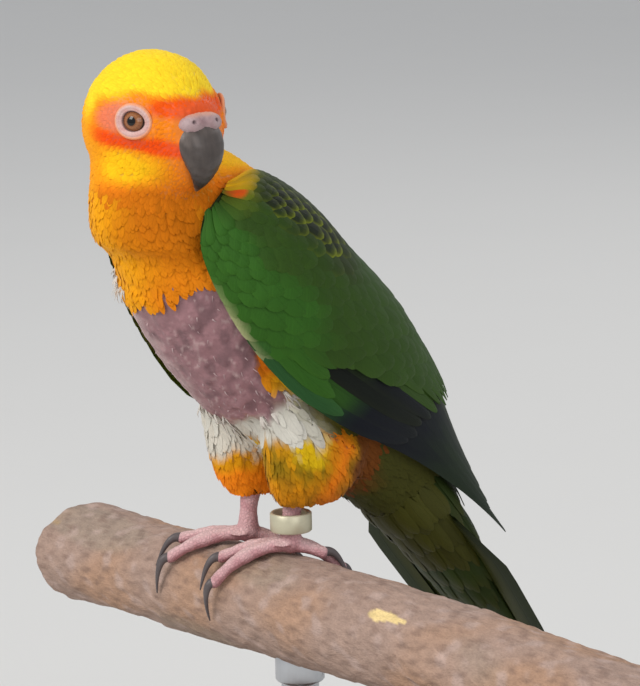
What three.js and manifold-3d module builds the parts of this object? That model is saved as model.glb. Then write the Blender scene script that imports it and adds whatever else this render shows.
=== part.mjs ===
// A sun conure at life size, still, gripping a cut length of branch on a plain display stand.
// Millimetres, +Z up. The bird faces -Y, its left side is +X, and the branch runs along X.
// The origin is the centre of the underside of the stand's base.
import * as THREE from "three";
import { mergeVertices } from "three/addons/utils/BufferGeometryUtils.js";
import Module from "manifold-3d";

const wasm = await Module();
wasm.setup();

// Driving dimensions of the stand and the branch
const GAP = 0.3;
const BASE_RADIUS = 66;
const BASE_HEIGHT = 12;
const BASE_BEVEL = 2;
const ROD_RADIUS = 4.5;
const PERCH_RADIUS = 12.8;
const PERCH_LEFT = -87;
const PERCH_RIGHT = 128;
const BIRD_X = -12;
const PERCH_DROOP = 6;
const TAIL_CLEARANCE = 6;

// Driving dimensions of the bird, measured from the top of the branch between its feet
const TAIL_LENGTH = 128;
const TAIL_HIDDEN = 10;
const TAIL_TIP_DROP = 87;
const TAIL_PAIRS = 6;
const TAIL_SHORTEST = 0.58;
const VANE_THICK = 0.5;
const VANE_STEP = 0.82;
const HEAD_PLACE = [2.7, -30.2, 105.6];
const HEAD_TURN = 90;
const HEAD_PITCH = -2;
const EYE_RADIUS = 3.3;
const EYE_AHEAD = 7.4;
const EYE_ANGLE = 11;
const FOOT_SPACING = 16;
const TOE_RADIUS = 2.1;
const TOE_TIP_RADIUS = 1.5;
const TOE_KNUCKLE = 0.18;
const TOE_DIP = 0.1;
const TOE_HEIGHT = { root: 2.6, tip: 1.9 };
const CLAW_LENGTH = 8.5;
const CLAW_SEAT = 1.2;
const CLAW_STRAIGHTEN = 0.45;
const CLAW_RADIUS = { root: 1.15, tip: 0.16 };
const CLAW_ARCH = { height: 1.9, rise: 1.8, hook: 1.1 };
const ANKLE_FORWARD = -1.5;
const ANKLE = { height: 3.2, radius: 3 };
const RING_RADIUS = 5;
const RING_WALL = 0.9;
const RING_HEIGHT = 4.6;
const RING_PLACE = { back: 1.7, up: 5.6 };
const PERCH_TOP = BASE_HEIGHT + TAIL_CLEARANCE + TAIL_TIP_DROP;

// The trunk's axis from the neck back to the wing tips: how far back and up, half width, half depth
const TRUNK = [
  { back: -32, up: 95.5, wide: 9, deep: 12 },
  { back: -25.5, up: 86.5, wide: 16.5, deep: 19.5 },
  { back: -12.5, up: 71, wide: 22.5, deep: 24 },
  { back: 1.8, up: 54.2, wide: 23, deep: 25 },
  { back: 18, up: 39, wide: 20.5, deep: 23.8 },
  { back: 32.5, up: 25, wide: 16, deep: 19.5 },
  { back: 45, up: 9.5, wide: 12.4, deep: 13.5 },
  { back: 57.5, up: -7, wide: 10.5, deep: 9.5 },
  { back: 71, up: -25, wide: 10, deep: 7.5 },
  { back: 80, up: -37, wide: 10, deep: 6 },
];
const TAIL_ROOT = 6;

// The tail's fleshy root, at the rump and at its end, and its vanes, which fan out from their roots
// to their widest, then draw together towards the tips
const TAIL_FLESH_LENGTH = 50;
const TAIL_FLESH = { wide: 12.6, above: 9, below: 12.5 };
const TAIL_FLESH_TIP = { wide: 11, above: -0.8, below: 3.4 };
const TAIL_FAN = { root: 8, widest: 22, halfAtRoot: 2.2, half: 4.3, drawn: 0.28, drawnBy: 80, roof: 0.06 };
const TAIL_MIDDLE = { root: 1.6, rootStep: 1.9, fan: 3.9, fanStep: 3.6, height: 2.2, sink: 0.014 };
const TAIL_TIP_GATHER = { first: 0.5, others: 0.94, from: 0.6 };
const TAIL_COVERT = { count: 5, from: 25, to: 155, half: 21, start: 3, shortest: 34, longest: 44 };

// The head from nape to forehead: distance ahead of its centre, half width, half height, height of its middle
const HEAD = [
  { ahead: -19.2, wide: 0.6, tall: 0.6, up: -0.5 },
  { ahead: -17.4, wide: 7.6, tall: 8, up: -0.4 },
  { ahead: -13.2, wide: 12.8, tall: 13.4, up: 0 },
  { ahead: -6.5, wide: 16.2, tall: 16.8, up: 0.2 },
  { ahead: 0, wide: 16.2, tall: 17.4, up: 0 },
  { ahead: 6, wide: 13.8, tall: 16.6, up: -0.2 },
  { ahead: 11, wide: 11.2, tall: 13.8, up: -1 },
  { ahead: 14.8, wide: 8.2, tall: 10, up: -1.6 },
  { ahead: 16.8, wide: 5, tall: 6, up: -1.8 },
];

// The neck from inside the head down into the breast
const NECK = [
  { side: 0, back: -32, up: 101, wide: 12, deep: 13 },
  { side: -0.5, back: -31, up: 93, wide: 13.5, deep: 15.5 },
  { side: -0.5, back: -29.5, up: 85, wide: 15.5, deep: 17 },
  { side: 0, back: -27.5, up: 77.5, wide: 17.5, deep: 16.6 },
  { side: 0, back: -22, up: 70, wide: 14, deep: 12 },
];

// One folded wing from its front to its tip: place along the trunk, lower and upper edge in degrees,
// depth of the fleshy part, and how far the feathers rise off the trunk
const WING = [
  { at: 0.9, low: -8, high: 24, deep: 1.2, rise: 0 },
  { at: 1.2, low: -25, high: 46, deep: 2.4, rise: 0 },
  { at: 1.95, low: -35, high: 61, deep: 3, rise: 0 },
  { at: 2.9, low: -34, high: 72, deep: 2.6, rise: 0 },
  { at: 4.0, low: -26, high: 80, deep: 1.7, rise: 0 },
  { at: 5.2, low: -10, high: 84, deep: 1, rise: 0.6 },
  { at: 6.3, low: 14, high: 84, deep: 1, rise: 2 },
  { at: 7.3, low: 38, high: 76, deep: 1, rise: 3.6 },
];
const WING_FLESH_END = 4.3;
const WING_LIFT = 0.65;
const WING_TOP = 5.4;
const WING_ROOM_SPARE = 5;
const WING_TIP_SPREAD = 0.12;
const RIGHT_WING_DROOP = 11;
const DROOP_FROM = 1.5;
const DROOP_TO = 5;

// The wing's rows of feathers: place of the roots, of the tips of the lowest and the highest feather,
// height over the trunk at the root and at the tip, and how far each reaches over its neighbours
const WING_TIERS = [
  { count: 6, root: 3.3, lowTip: 7.28, highTip: 5.8, from: 0.9, to: 0.9, overlap: 1.5, steps: 5 },
  { count: 7, root: 2.7, lowTip: 4.9, highTip: 5.3, from: 0.7, to: 2.9, overlap: 1.4, steps: 4 },
  { count: 8, root: 1.9, lowTip: 3.35, highTip: 3.9, from: 1, to: 3.5, overlap: 1.3, steps: 3 },
];

const THIGH = [
  { side: 11, back: 7, up: 40, wide: 10.5, deep: 16.5 },
  { side: 10.8, back: 7.5, up: 26, wide: 9.8, deep: 16 },
  { side: 9.8, back: 7.5, up: 16, wide: 8, deep: 13.6 },
  { side: 9, back: 6.5, up: 11, wide: 5.6, deep: 8.8 },
];

// The upper bill fans round a pivot in the head: turn in degrees above straight ahead, and its two edges
const BILL_PIVOT = { ahead: 9.6, up: -7.6 };
const BILL_UPPER = [
  { turn: 85, inner: 1.8, outer: 12.4, wide: 6 },
  { turn: 60, inner: 2.6, outer: 12.2, wide: 6.3 },
  { turn: 35, inner: 3.4, outer: 11.3, wide: 6 },
  { turn: 10, inner: 4.2, outer: 10, wide: 5 },
  { turn: -15, inner: 5, outer: 8.6, wide: 3.5 },
  { turn: -38, inner: 6, outer: 7.9, wide: 1.8 },
  { turn: -54, inner: 7, outer: 7.7, wide: 0.5 },
];

const BILL_LOWER = [
  { ahead: 7.8, up: -9.4, wide: 4.6, deep: 2.8 },
  { ahead: 10.2, up: -10.2, wide: 4.4, deep: 2.6 },
  { ahead: 12.2, up: -11.1, wide: 3.4, deep: 1.9 },
  { ahead: 13.2, up: -11.8, wide: 2, deep: 0.9 },
];

// The bare cere over the bill, its nostrils, and the bare eyelids, an oval ring raised round the eye
const CERE = { ahead: 15.4, up: 2.2, deep: 3.2, wide: 6.2, tall: 3.4 };
const NOSTRIL = { ahead: 18.2, side: 2.6, up: 3.2, deep: 1.6, wide: 0.8 };
const LIDS = { ahead: 3.5, up: 3, wide: 1.05, tall: 0.65 };

// One leg from the foot up into the thigh
const SHANK = [
  { back: 1.6, up: 4, radius: 2.5 },
  { back: 1.7, up: 8, radius: 2.1 },
  { back: 2.4, up: 11.5, radius: 2.3 },
  { back: 5, up: 17, radius: 2.8 },
];

// Two toes point ahead and two back; each has a heading in degrees and a length
const TOES = {
  right: [
    { name: "inner_front", heading: 44, length: 22 },
    { name: "outer_front", heading: 60, length: 19 },
    { name: "inner_back", heading: 218, length: 9 },
    { name: "outer_back", heading: 198, length: 15 },
  ],
  left: [
    { name: "inner_front", heading: 50, length: 19 },
    { name: "outer_front", heading: 32, length: 22.5 },
    { name: "inner_back", heading: 228, length: 9 },
    { name: "outer_back", heading: 206, length: 15 },
  ],
};

// The bark swells and knots away from the feet, the bent end hangs, and the near end is cut at a slant
const BARK = { swell: 0.45, oval: 0.35, sunk: 0.6, knot: 0.3, smoothFor: 28, blend: 20 };
const PERCH_END = { sagFrom: 10, rounded: 1.6, slant: 4.5 };

const SKIN_COLOUR = { pink: 0xc98f8c, horn: 0x3b3a3c, cere: 0xd9cdd2, eye: 0x4a2a14 };
const FEATHER_COLOUR = {
  head: 0xffc21a,
  throat: 0xe88a10,
  breast: 0xa8787e,
  green: 0x2f6a2c,
  tail: 0x55612c,
  thigh: 0xe0741a,
};
const STAND_COLOUR = { ring: 0xd8d6cc, bark: 0x8d6a58, wood: 0x4b382c, steel: 0xa9acae };

// Smooth curve through the rows of a list, read at a place between 0 and the last row
function between(rows, place) {
  const last = rows.length - 1;
  const held = Math.min(Math.max(place, 0), last);
  const i = Math.min(Math.floor(held), last - 1);
  const t = held - i;
  const row = {};
  for (const key of Object.keys(rows[0])) {
    const a = rows[i][key];
    const b = rows[i + 1][key];
    const before = i > 0 ? rows[i - 1][key] : 2 * a - b;
    const after = i + 2 <= last ? rows[i + 2][key] : 2 * b - a;
    const slopeA = (b - before) / 2;
    const slopeB = (after - a) / 2;
    row[key] =
      (2 * t ** 3 - 3 * t ** 2 + 1) * a +
      (t ** 3 - 2 * t ** 2 + t) * slopeA +
      (3 * t ** 2 - 2 * t ** 3) * b +
      (t ** 3 - t ** 2) * slopeB;
  }
  return row;
}

// The row of a curve at which one of its rising values is reached
function rowWhere(rows, key, value) {
  let low = 0;
  let high = rows.length - 1;
  for (let i = 0; i < 30; i++) {
    const half = (low + high) / 2;
    if (between(rows, half)[key] < value) low = half;
    else high = half;
  }
  return between(rows, low);
}

const radians = THREE.MathUtils.degToRad;
const mix = THREE.MathUtils.lerp;

function vector(x, y, z) {
  return new THREE.Vector3(x, y, z);
}

// Closed skin through rings of points, with each end ring closed by a fan to its middle
function loft(rings) {
  const count = rings[0].length;
  const points = rings.flat();
  const faces = [];
  const middle = (ring) =>
    ring.reduce((sum, p) => sum.add(p), vector(0, 0, 0)).divideScalar(ring.length);
  for (let i = 0; i + 1 < rings.length; i++) {
    for (let j = 0; j < count; j++) {
      const k = (j + 1) % count;
      const a = i * count + j;
      const b = i * count + k;
      const c = a + count;
      const d = b + count;
      faces.push(a, b, d, a, d, c);
    }
  }
  const first = points.push(middle(rings[0])) - 1;
  const end = points.push(middle(rings[rings.length - 1])) - 1;
  const lastRing = (rings.length - 1) * count;
  for (let j = 0; j < count; j++) {
    const k = (j + 1) % count;
    faces.push(first, k, j);
    faces.push(end, lastRing + j, lastRing + k);
  }
  return asSolid(points, faces);
}

function asSolid(points, faces) {
  const geometry = new THREE.BufferGeometry().setFromPoints(points).setIndex(faces);
  return solidOf(geometry);
}

// A closed three.js geometry as a solid, turned to face outwards
function solidOf(geometry) {
  const plain = geometry.clone();
  plain.deleteAttribute("normal");
  plain.deleteAttribute("uv");
  const merged = mergeVertices(plain, 1e-4);
  const vertProperties = new Float32Array(merged.attributes.position.array);
  const triVerts = new Uint32Array(merged.index.array);
  const made = new wasm.Manifold(new wasm.Mesh({ numProp: 3, vertProperties, triVerts }));
  if (made.volume() > 0) return made;
  for (let i = 0; i < triVerts.length; i += 3) triVerts.subarray(i + 1, i + 3).reverse();
  return new wasm.Manifold(new wasm.Mesh({ numProp: 3, vertProperties, triVerts }));
}

function geometryOf(solid) {
  const mesh = solid.getMesh();
  const geometry = new THREE.BufferGeometry();
  geometry.setAttribute("position", new THREE.BufferAttribute(new Float32Array(mesh.vertProperties), 3));
  geometry.setIndex(new THREE.BufferAttribute(new Uint32Array(mesh.triVerts), 1));
  return geometry;
}

function biggest(solid) {
  return solid.decompose().reduce((best, piece) => (piece.volume() > best.volume() ? piece : best));
}

function join(solids) {
  return solids.reduce((whole, piece) => whole.add(piece));
}

function cut(solid, tools) {
  return biggest(tools.reduce((left, tool) => left.subtract(tool), solid));
}

// A ring of an ellipse about a centre, spanned by two directions
function ellipse(centre, across, upward, wide, deep, sides) {
  const ring = [];
  for (let j = 0; j < sides; j++) {
    const a = (2 * Math.PI * j) / sides;
    ring.push(
      centre
        .clone()
        .addScaledVector(across, wide * Math.cos(a))
        .addScaledVector(upward, deep * Math.sin(a)),
    );
  }
  return ring;
}

const LEFT = vector(1, 0, 0);

function trunkFrame(place) {
  const row = between(TRUNK, place);
  const step = 0.05;
  const ahead = between(TRUNK, Math.min(place + step, TRUNK.length - 1));
  const behind = between(TRUNK, Math.max(place - step, 0));
  const along = vector(0, ahead.back - behind.back, ahead.up - behind.up).normalize();
  const outward = vector(0, -along.z, along.y);
  return { row, along, outward, centre: vector(0, row.back, row.up) };
}

// A point over the trunk: 0 degrees is the bird's side, 90 its back; mirror is -1 on the right
function overTrunk(place, degrees, lift, mirror = 1) {
  const { row, outward, centre } = trunkFrame(place);
  const a = radians(degrees);
  return centre
    .clone()
    .addScaledVector(LEFT, mirror * (row.wide + lift) * Math.cos(a))
    .addScaledVector(outward, (row.deep + lift) * Math.sin(a));
}

function makeTorso(grow) {
  const rings = [];
  const steps = 16;
  const sides = 22;
  for (let i = 0; i <= steps; i++) {
    const place = mix(0.02, TAIL_ROOT, i / steps);
    const { row, outward, centre, along } = trunkFrame(place);
    const end = i === 0 ? -grow : i === steps ? grow : 0;
    centre.addScaledVector(along, end);
    rings.push(ellipse(centre, LEFT, outward, row.wide + grow, row.deep + grow, sides));
  }
  return loft(rings);
}

// Turns the head's own axes (ahead, to its left, up) into the bird's
const headMatrix = new THREE.Matrix4()
  .makeTranslation(...HEAD_PLACE)
  .multiply(new THREE.Matrix4().makeRotationZ(radians(HEAD_TURN - 90)))
  .multiply(new THREE.Matrix4().makeRotationY(radians(-HEAD_PITCH)));

function headPoint(ahead, left, up) {
  return vector(ahead, left, up).applyMatrix4(headMatrix);
}

function headDirection(ahead, left, up) {
  return vector(ahead, left, up).transformDirection(headMatrix);
}

function overHead(ahead, degrees, lift, mirror = 1) {
  const row = rowWhere(HEAD, "ahead", ahead);
  const a = radians(degrees);
  const left = mirror * (row.wide + lift) * Math.cos(a);
  return headPoint(ahead, left, row.up + (row.tall + lift) * Math.sin(a));
}

function makeHeadForm(grow) {
  const steps = 14;
  const sides = 22;
  const rings = [];
  for (let i = 0; i <= steps; i++) {
    const row = between(HEAD, (i / steps) * (HEAD.length - 1));
    const end = i === 0 ? -grow : i === steps ? grow : 0;
    const centre = headPoint(row.ahead + end, 0, row.up);
    rings.push(
      ellipse(centre, headDirection(0, 1, 0), headDirection(0, 0, 1), row.wide + grow, row.tall + grow, sides),
    );
  }
  return loft(rings);
}

// The upper bill: rings fanned round its pivot, from its root to its point
function makeBillUpper(grow) {
  const rings = [];
  const steps = 11;
  const left = headDirection(0, 1, 0);
  for (let i = 0; i <= steps; i++) {
    const row = between(BILL_UPPER, (i / steps) * (BILL_UPPER.length - 1));
    const end = i === 0 ? 2 * grow : i === steps ? -2 * grow : 0;
    const turn = radians(row.turn) + end / row.outer;
    const reach = (row.inner + row.outer) / 2;
    const centre = headPoint(
      BILL_PIVOT.ahead + reach * Math.cos(turn),
      0,
      BILL_PIVOT.up + reach * Math.sin(turn),
    );
    const spoke = headDirection(Math.cos(turn), 0, Math.sin(turn));
    rings.push(ellipse(centre, left, spoke, row.wide + grow, (row.outer - row.inner) / 2 + grow, 14));
  }
  return loft(rings);
}

// A tapering form along a bent line of rows in the head's own plane
function headHorn(rows, grow, steps, sides) {
  const rings = [];
  for (let i = 0; i <= steps; i++) {
    const place = (i / steps) * (rows.length - 1);
    const row = between(rows, place);
    const next = between(rows, Math.min(place + 0.05, rows.length - 1));
    const last = between(rows, Math.max(place - 0.05, 0));
    const run = headDirection(next.ahead - last.ahead, 0, next.up - last.up);
    const left = headDirection(0, 1, 0);
    const upward = left.clone().cross(run).negate();
    const end = i === 0 ? -grow : i === steps ? grow : 0;
    const centre = headPoint(row.ahead, 0, row.up).addScaledVector(run, end);
    rings.push(ellipse(centre, left, upward, row.wide + grow, row.deep + grow, sides));
  }
  return loft(rings);
}

function sphereAt(centre, radius, squash, turn) {
  const geometry = new THREE.SphereGeometry(radius, 12, 8);
  const matrix = new THREE.Matrix4().makeTranslation(centre.x, centre.y, centre.z);
  if (turn) matrix.multiply(turn);
  if (squash) matrix.multiply(new THREE.Matrix4().makeScale(...squash));
  return solidOf(geometry.applyMatrix4(matrix));
}

// The directions of the head's surface at one eye: outward, ahead and up along the skin
function eyeFrame(mirror) {
  const over = (aheadBy, degreesBy) => overHead(EYE_AHEAD + aheadBy, EYE_ANGLE + degreesBy, 0, mirror);
  const centre = over(0, 0);
  const ahead = over(1, 0).sub(over(-1, 0)).normalize();
  const upward = over(0, 4).sub(over(0, -4));
  const outward = ahead.clone().cross(upward.normalize()).normalize().multiplyScalar(-mirror);
  const up = outward.clone().cross(ahead).normalize();
  if (up.z < 0) up.negate();
  return { centre, ahead, outward, up };
}

function makeEye(mirror, grow) {
  const { centre, outward } = eyeFrame(mirror);
  return sphereAt(centre.clone().addScaledVector(outward, 0.7 - EYE_RADIUS), EYE_RADIUS + grow);
}

function makeLids(mirror, grow) {
  const { centre, ahead, outward, up } = eyeFrame(mirror);
  const rings = [];
  const steps = 16;
  for (let i = 0; i < steps; i++) {
    const a = (2 * Math.PI * i) / steps;
    const away = ahead.clone().multiplyScalar(Math.cos(a)).addScaledVector(up, Math.sin(a));
    const middle = centre
      .clone()
      .addScaledVector(ahead, LIDS.ahead * Math.cos(a))
      .addScaledVector(up, LIDS.up * Math.sin(a))
      .addScaledVector(outward, 0.1 - 0.3 * Math.cos(a) ** 2);
    rings.push(ellipse(middle, away, outward, LIDS.wide + grow, LIDS.tall + grow, 6));
  }
  return closedLoop(rings);
}

// Rings joined round into a closed loop
function closedLoop(rings) {
  const count = rings[0].length;
  const faces = [];
  for (let i = 0; i < rings.length; i++) {
    for (let j = 0; j < count; j++) {
      const k = (j + 1) % count;
      const next = ((i + 1) % rings.length) * count;
      faces.push(i * count + j, i * count + k, next + k, i * count + j, next + k, next + j);
    }
  }
  return asSolid(rings.flat(), faces);
}

function makeCere(grow) {
  const turn = new THREE.Matrix4().extractRotation(headMatrix);
  const size = [CERE.deep + grow, CERE.wide + grow, CERE.tall + grow];
  return sphereAt(headPoint(CERE.ahead, 0, CERE.up), 1, size, turn);
}

function makeNostril(mirror) {
  const turn = new THREE.Matrix4().extractRotation(headMatrix);
  const centre = headPoint(NOSTRIL.ahead, mirror * NOSTRIL.side, NOSTRIL.up);
  return sphereAt(centre, 1, [NOSTRIL.deep, NOSTRIL.wide, NOSTRIL.wide], turn);
}

function standingForm(rows, grow, mirror, steps, sides) {
  const rings = [];
  for (let i = 0; i <= steps; i++) {
    const row = between(rows, (i / steps) * (rows.length - 1));
    const centre = vector(mirror * row.side, row.back, row.up);
    rings.push(ellipse(centre, LEFT, vector(0, 1, 0), row.wide + grow, row.deep + grow, sides));
  }
  return loft(rings);
}

// A thin closed plate over a grid: place(u, v, side) gives a point of its upper or under face
function plate(place, along, across) {
  const points = [];
  const index = (side, i, j) => (side * (along + 1) + i) * (across + 1) + j;
  for (const side of [0, 1]) {
    for (let i = 0; i <= along; i++) {
      for (let j = 0; j <= across; j++) points.push(place(i / along, j / across, side));
    }
  }
  const faces = [];
  for (let i = 0; i < along; i++) {
    for (let j = 0; j < across; j++) {
      const [a, b, c, d] = [index(0, i, j), index(0, i + 1, j), index(0, i + 1, j + 1), index(0, i, j + 1)];
      const [e, f, g, h] = [index(1, i, j), index(1, i + 1, j), index(1, i + 1, j + 1), index(1, i, j + 1)];
      faces.push(a, b, c, a, c, d, e, g, f, e, h, g);
    }
  }
  const wall = (i, j, k, l) => {
    const [a, b] = [index(0, i, j), index(0, k, l)];
    const [e, f] = [index(1, i, j), index(1, k, l)];
    faces.push(a, e, f, a, f, b);
  };
  for (let i = 0; i < along; i++) {
    wall(i, 0, i + 1, 0);
    wall(i + 1, across, i, across);
  }
  for (let j = 0; j < across; j++) {
    wall(0, j + 1, 0, j);
    wall(along, j, along, j + 1);
  }
  return asSolid(points, faces);
}

// One wing's row at a place; the right wing's lower edge hangs further round towards the belly
function wingRow(at, mirror) {
  const row = rowWhere(WING, "at", at);
  const share = Math.min(1, Math.max(0, (at - DROOP_FROM) / (DROOP_TO - DROOP_FROM)));
  const droop = mirror < 0 ? RIGHT_WING_DROOP * Math.sin(Math.PI * share) ** 2 : 0;
  return { ...row, at, low: row.low - droop };
}

// The space one wing takes, feathers and all, for cutting its neighbours clear
function makeWingRoom(mirror) {
  const room = (u, v, side) => {
    const row = wingRow(between(WING, u * (WING.length - 1)).at, mirror);
    const lift = side === 0 ? row.rise + WING_TOP + GAP : -2 * GAP;
    const spare = WING_ROOM_SPARE * (2 * v - 1);
    const at = u === 0 ? row.at - 0.05 : row.at;
    return overTrunk(at, mix(row.low, row.high, v) + spare, lift, mirror);
  };
  return plate(room, 12, 8);
}

// Share of its full width that a feather has between its root and its tip
function vaneWidth(u) {
  const root = Math.min(1, 0.6 + 2 * u);
  const tip = Math.sqrt(Math.max(0.06, 1 - Math.max(0, (u - 0.6) / 0.41) ** 2));
  return root * tip;
}

// Steps along a feather lie closer towards its rounded tip
function vaneStep(t) {
  return 1 - (1 - t) ** 1.6;
}

// One feather of the wing: it slopes so that its lower edge lies over the next feather down
function wingVane(mirror, tier, i, longer) {
  const half = tier.overlap / (2 * tier.count);
  const spacing = (1 - 2 * half) / (tier.count - 1);
  const slope = VANE_STEP / spacing;
  const middle = half + spacing * i;
  const tip = mix(tier.lowTip, tier.highTip, i / (tier.count - 1)) + longer;
  const vane = (t, v, side) => {
    const u = vaneStep(t);
    const row = wingRow(mix(tier.root, tip, u), mirror);
    const off = (2 * v - 1) * half * vaneWidth(u);
    const base = mix(tier.from, tier.to, Math.min(1, 1.4 * u)) + slope * (half - off);
    const lift = base + row.rise + (side === 0 ? VANE_THICK : 0);
    return overTrunk(row.at, mix(row.low, row.high, middle + off), lift, mirror);
  };
  return plate(vane, tier.steps, 2);
}

function makeWing(mirror) {
  const random = seededRandom(5);
  const flesh = (u, v, side) => {
    const row = wingRow(mix(WING[0].at, WING_FLESH_END, u), mirror);
    const crown = row.deep * Math.max(0.25, 1 - Math.abs(2 * v - 1) ** 3);
    return overTrunk(row.at, mix(row.low, row.high, v), WING_LIFT + (side === 0 ? crown : 0), mirror);
  };
  const pieces = [plate(flesh, 8, 8)];
  for (const tier of WING_TIERS) {
    for (let i = 0; i < tier.count; i++) {
      pieces.push(wingVane(mirror, tier, i, WING_TIP_SPREAD * (random() - 0.5)));
    }
  }
  return biggest(join(pieces));
}

// A point over the tail's fleshy root: distance back from the rump, degrees round it, and height off it
function overTailRoot(reach, degrees, lift) {
  const { along, outward } = trunkFrame(TAIL_ROOT + 1);
  const root = trunkFrame(TAIL_ROOT);
  const u = Math.min(1, reach / TAIL_FLESH_LENGTH);
  const wide = mix(TAIL_FLESH.wide, TAIL_FLESH_TIP.wide, u);
  const above = mix(TAIL_FLESH.above, TAIL_FLESH_TIP.above, u ** 0.9);
  const below = mix(TAIL_FLESH.below, TAIL_FLESH_TIP.below, u ** 0.8);
  const a = radians(degrees);
  return root.centre
    .addScaledVector(root.along, GAP + 0.1)
    .addScaledVector(along, reach)
    .addScaledVector(LEFT, (wide + lift) * Math.cos(a))
    .addScaledVector(outward, (above - below) / 2 + ((above + below) / 2 + lift) * Math.sin(a));
}

// Pairs of tail feathers lie under one another from the middle outwards, each pair shorter
function tailVane(mirror, pair) {
  const share = pair / (TAIL_PAIRS - 1);
  const length = (TAIL_LENGTH - TAIL_HIDDEN) * mix(1, TAIL_SHORTEST, share ** 1.2);
  const vane = (t, v, side) => {
    const { along, outward } = trunkFrame(TAIL_ROOT + 1);
    const u = vaneStep(t);
    const reach = mix(TAIL_FAN.root, length, u);
    const fan = Math.min(1, reach / TAIL_FAN.widest);
    const past = Math.min(1, Math.max(0, reach - TAIL_FAN.widest) / (TAIL_FAN.drawnBy - TAIL_FAN.widest));
    const nearTip = Math.max(0, u - TAIL_TIP_GATHER.from) / (1 - TAIL_TIP_GATHER.from);
    const gather = mix(1, pair === 0 ? TAIL_TIP_GATHER.first : TAIL_TIP_GATHER.others, nearTip);
    const atRoot = TAIL_MIDDLE.root + TAIL_MIDDLE.rootStep * pair;
    const fanned = TAIL_MIDDLE.fan + TAIL_MIDDLE.fanStep * pair;
    const centre = mix(atRoot, fanned, fan) * (1 - TAIL_FAN.drawn * past) * gather;
    const half = mix(TAIL_FAN.halfAtRoot, TAIL_FAN.half, fan) * vaneWidth(u);
    const x = Math.max(GAP - 0.05, centre + (2 * v - 1) * half);
    const lift = side === 0 ? VANE_THICK : 0;
    const sunk = TAIL_MIDDLE.sink * reach + VANE_STEP * pair + TAIL_FAN.roof * x;
    const up = TAIL_MIDDLE.height - sunk + lift;
    return trunkFrame(TAIL_ROOT)
      .centre.addScaledVector(along, reach)
      .addScaledVector(LEFT, mirror * x)
      .addScaledVector(outward, up);
  };
  return plate(vane, pair < 2 ? 5 : 4, 2);
}

// Short feathers under the tail's root
function tailCovert(i) {
  const middle = mix(TAIL_COVERT.from, TAIL_COVERT.to, i / (TAIL_COVERT.count - 1));
  const length = mix(TAIL_COVERT.shortest, TAIL_COVERT.longest, Math.sin(radians(middle)));
  const vane = (t, v, side) => {
    const u = vaneStep(t);
    const degrees = middle + TAIL_COVERT.half * (2 * v - 1) * vaneWidth(u);
    const risen = mix(-1.6, 0.5, Math.min(1, 1.5 * u));
    const lift = risen + 0.85 * (i % 2) + (side === 0 ? VANE_THICK : 0);
    return overTailRoot(mix(TAIL_COVERT.start, length, u), -degrees, lift);
  };
  return plate(vane, 3, 2);
}

function makeTail() {
  const rings = [];
  const steps = 4;
  const sides = 12;
  for (let i = 0; i <= steps; i++) {
    const ring = [];
    for (let j = 0; j < sides; j++) {
      ring.push(overTailRoot((TAIL_FLESH_LENGTH * i) / steps, (360 * j) / sides, 0));
    }
    rings.push(ring);
  }
  const pieces = [loft(rings)];
  for (let pair = 0; pair < TAIL_PAIRS; pair++) pieces.push(tailVane(1, pair), tailVane(-1, pair));
  for (let i = 0; i < TAIL_COVERT.count; i++) pieces.push(tailCovert(i));
  return biggest(join(pieces));
}

// A point over the branch: along its length, round it towards the bird's front, and above its bark
function overPerch(along, around, height) {
  const a = around / (PERCH_RADIUS + height);
  const reach = PERCH_RADIUS + height;
  return vector(along, -reach * Math.sin(a), reach * Math.cos(a) - PERCH_RADIUS);
}

// Rings carried along a bent line of points, each with its own radius
function tubeAlong(points, radii, sides) {
  const rings = [];
  let across = vector(1, 0, 0);
  points.forEach((p, i) => {
    const next = points[Math.min(i + 1, points.length - 1)];
    const last = points[Math.max(i - 1, 0)];
    const run = next.clone().sub(last).normalize();
    across.addScaledVector(run, -across.dot(run)).normalize();
    rings.push(ellipse(p, across, run.clone().cross(across), radii[i], radii[i], sides));
    across = across.clone();
  });
  return loft(rings);
}

function toePath(mirror, toe, steps) {
  const points = [];
  const heading = radians(toe.heading);
  for (let i = 0; i <= steps; i++) {
    const s = (toe.length * i) / steps;
    const side = (mirror * FOOT_SPACING) / 2 - s * Math.sin(heading);
    const height = mix(TOE_HEIGHT.root, TOE_HEIGHT.tip, i / steps);
    points.push(overPerch(side, s * Math.cos(heading) + ANKLE_FORWARD, height));
  }
  return points;
}

function makeAnkle(mirror, grow) {
  const centre = overPerch((mirror * FOOT_SPACING) / 2, ANKLE_FORWARD, ANKLE.height);
  return sphereAt(centre, ANKLE.radius + grow);
}

function makeFoot(mirror, toes) {
  const pieces = [makeAnkle(mirror, 0)];
  for (const toe of toes) {
    const steps = 5;
    const path = toePath(mirror, toe, steps);
    const knuckle = (i) => (i % 2 === 0 ? TOE_KNUCKLE : -TOE_DIP);
    const radii = path.map((p, i) => mix(TOE_RADIUS, TOE_TIP_RADIUS, i / steps) + knuckle(i));
    pieces.push(tubeAlong(path, radii, 7));
  }
  return cut(join(pieces), toes.map((toe) => makeClaw(mirror, toe, GAP)));
}

function clawPath(mirror, toe) {
  const points = [];
  const steps = 5;
  const root = toe.length - CLAW_SEAT;
  const heading = radians(toe.heading);
  const square = toe.heading > 90 ? 180 : 0;
  const hooked = radians(square + (toe.heading - square) * CLAW_STRAIGHTEN);
  for (let i = 0; i <= steps; i++) {
    const u = i / steps;
    const run = u * CLAW_LENGTH;
    const side = (mirror * FOOT_SPACING) / 2 - root * Math.sin(heading) - run * Math.sin(hooked);
    const bow = Math.sin(Math.PI * u) * (1 - u);
    const arch = CLAW_ARCH.height + CLAW_ARCH.rise * bow - CLAW_ARCH.hook * u ** 2;
    points.push(overPerch(side, root * Math.cos(heading) + run * Math.cos(hooked) + ANKLE_FORWARD, arch));
  }
  return points;
}

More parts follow.
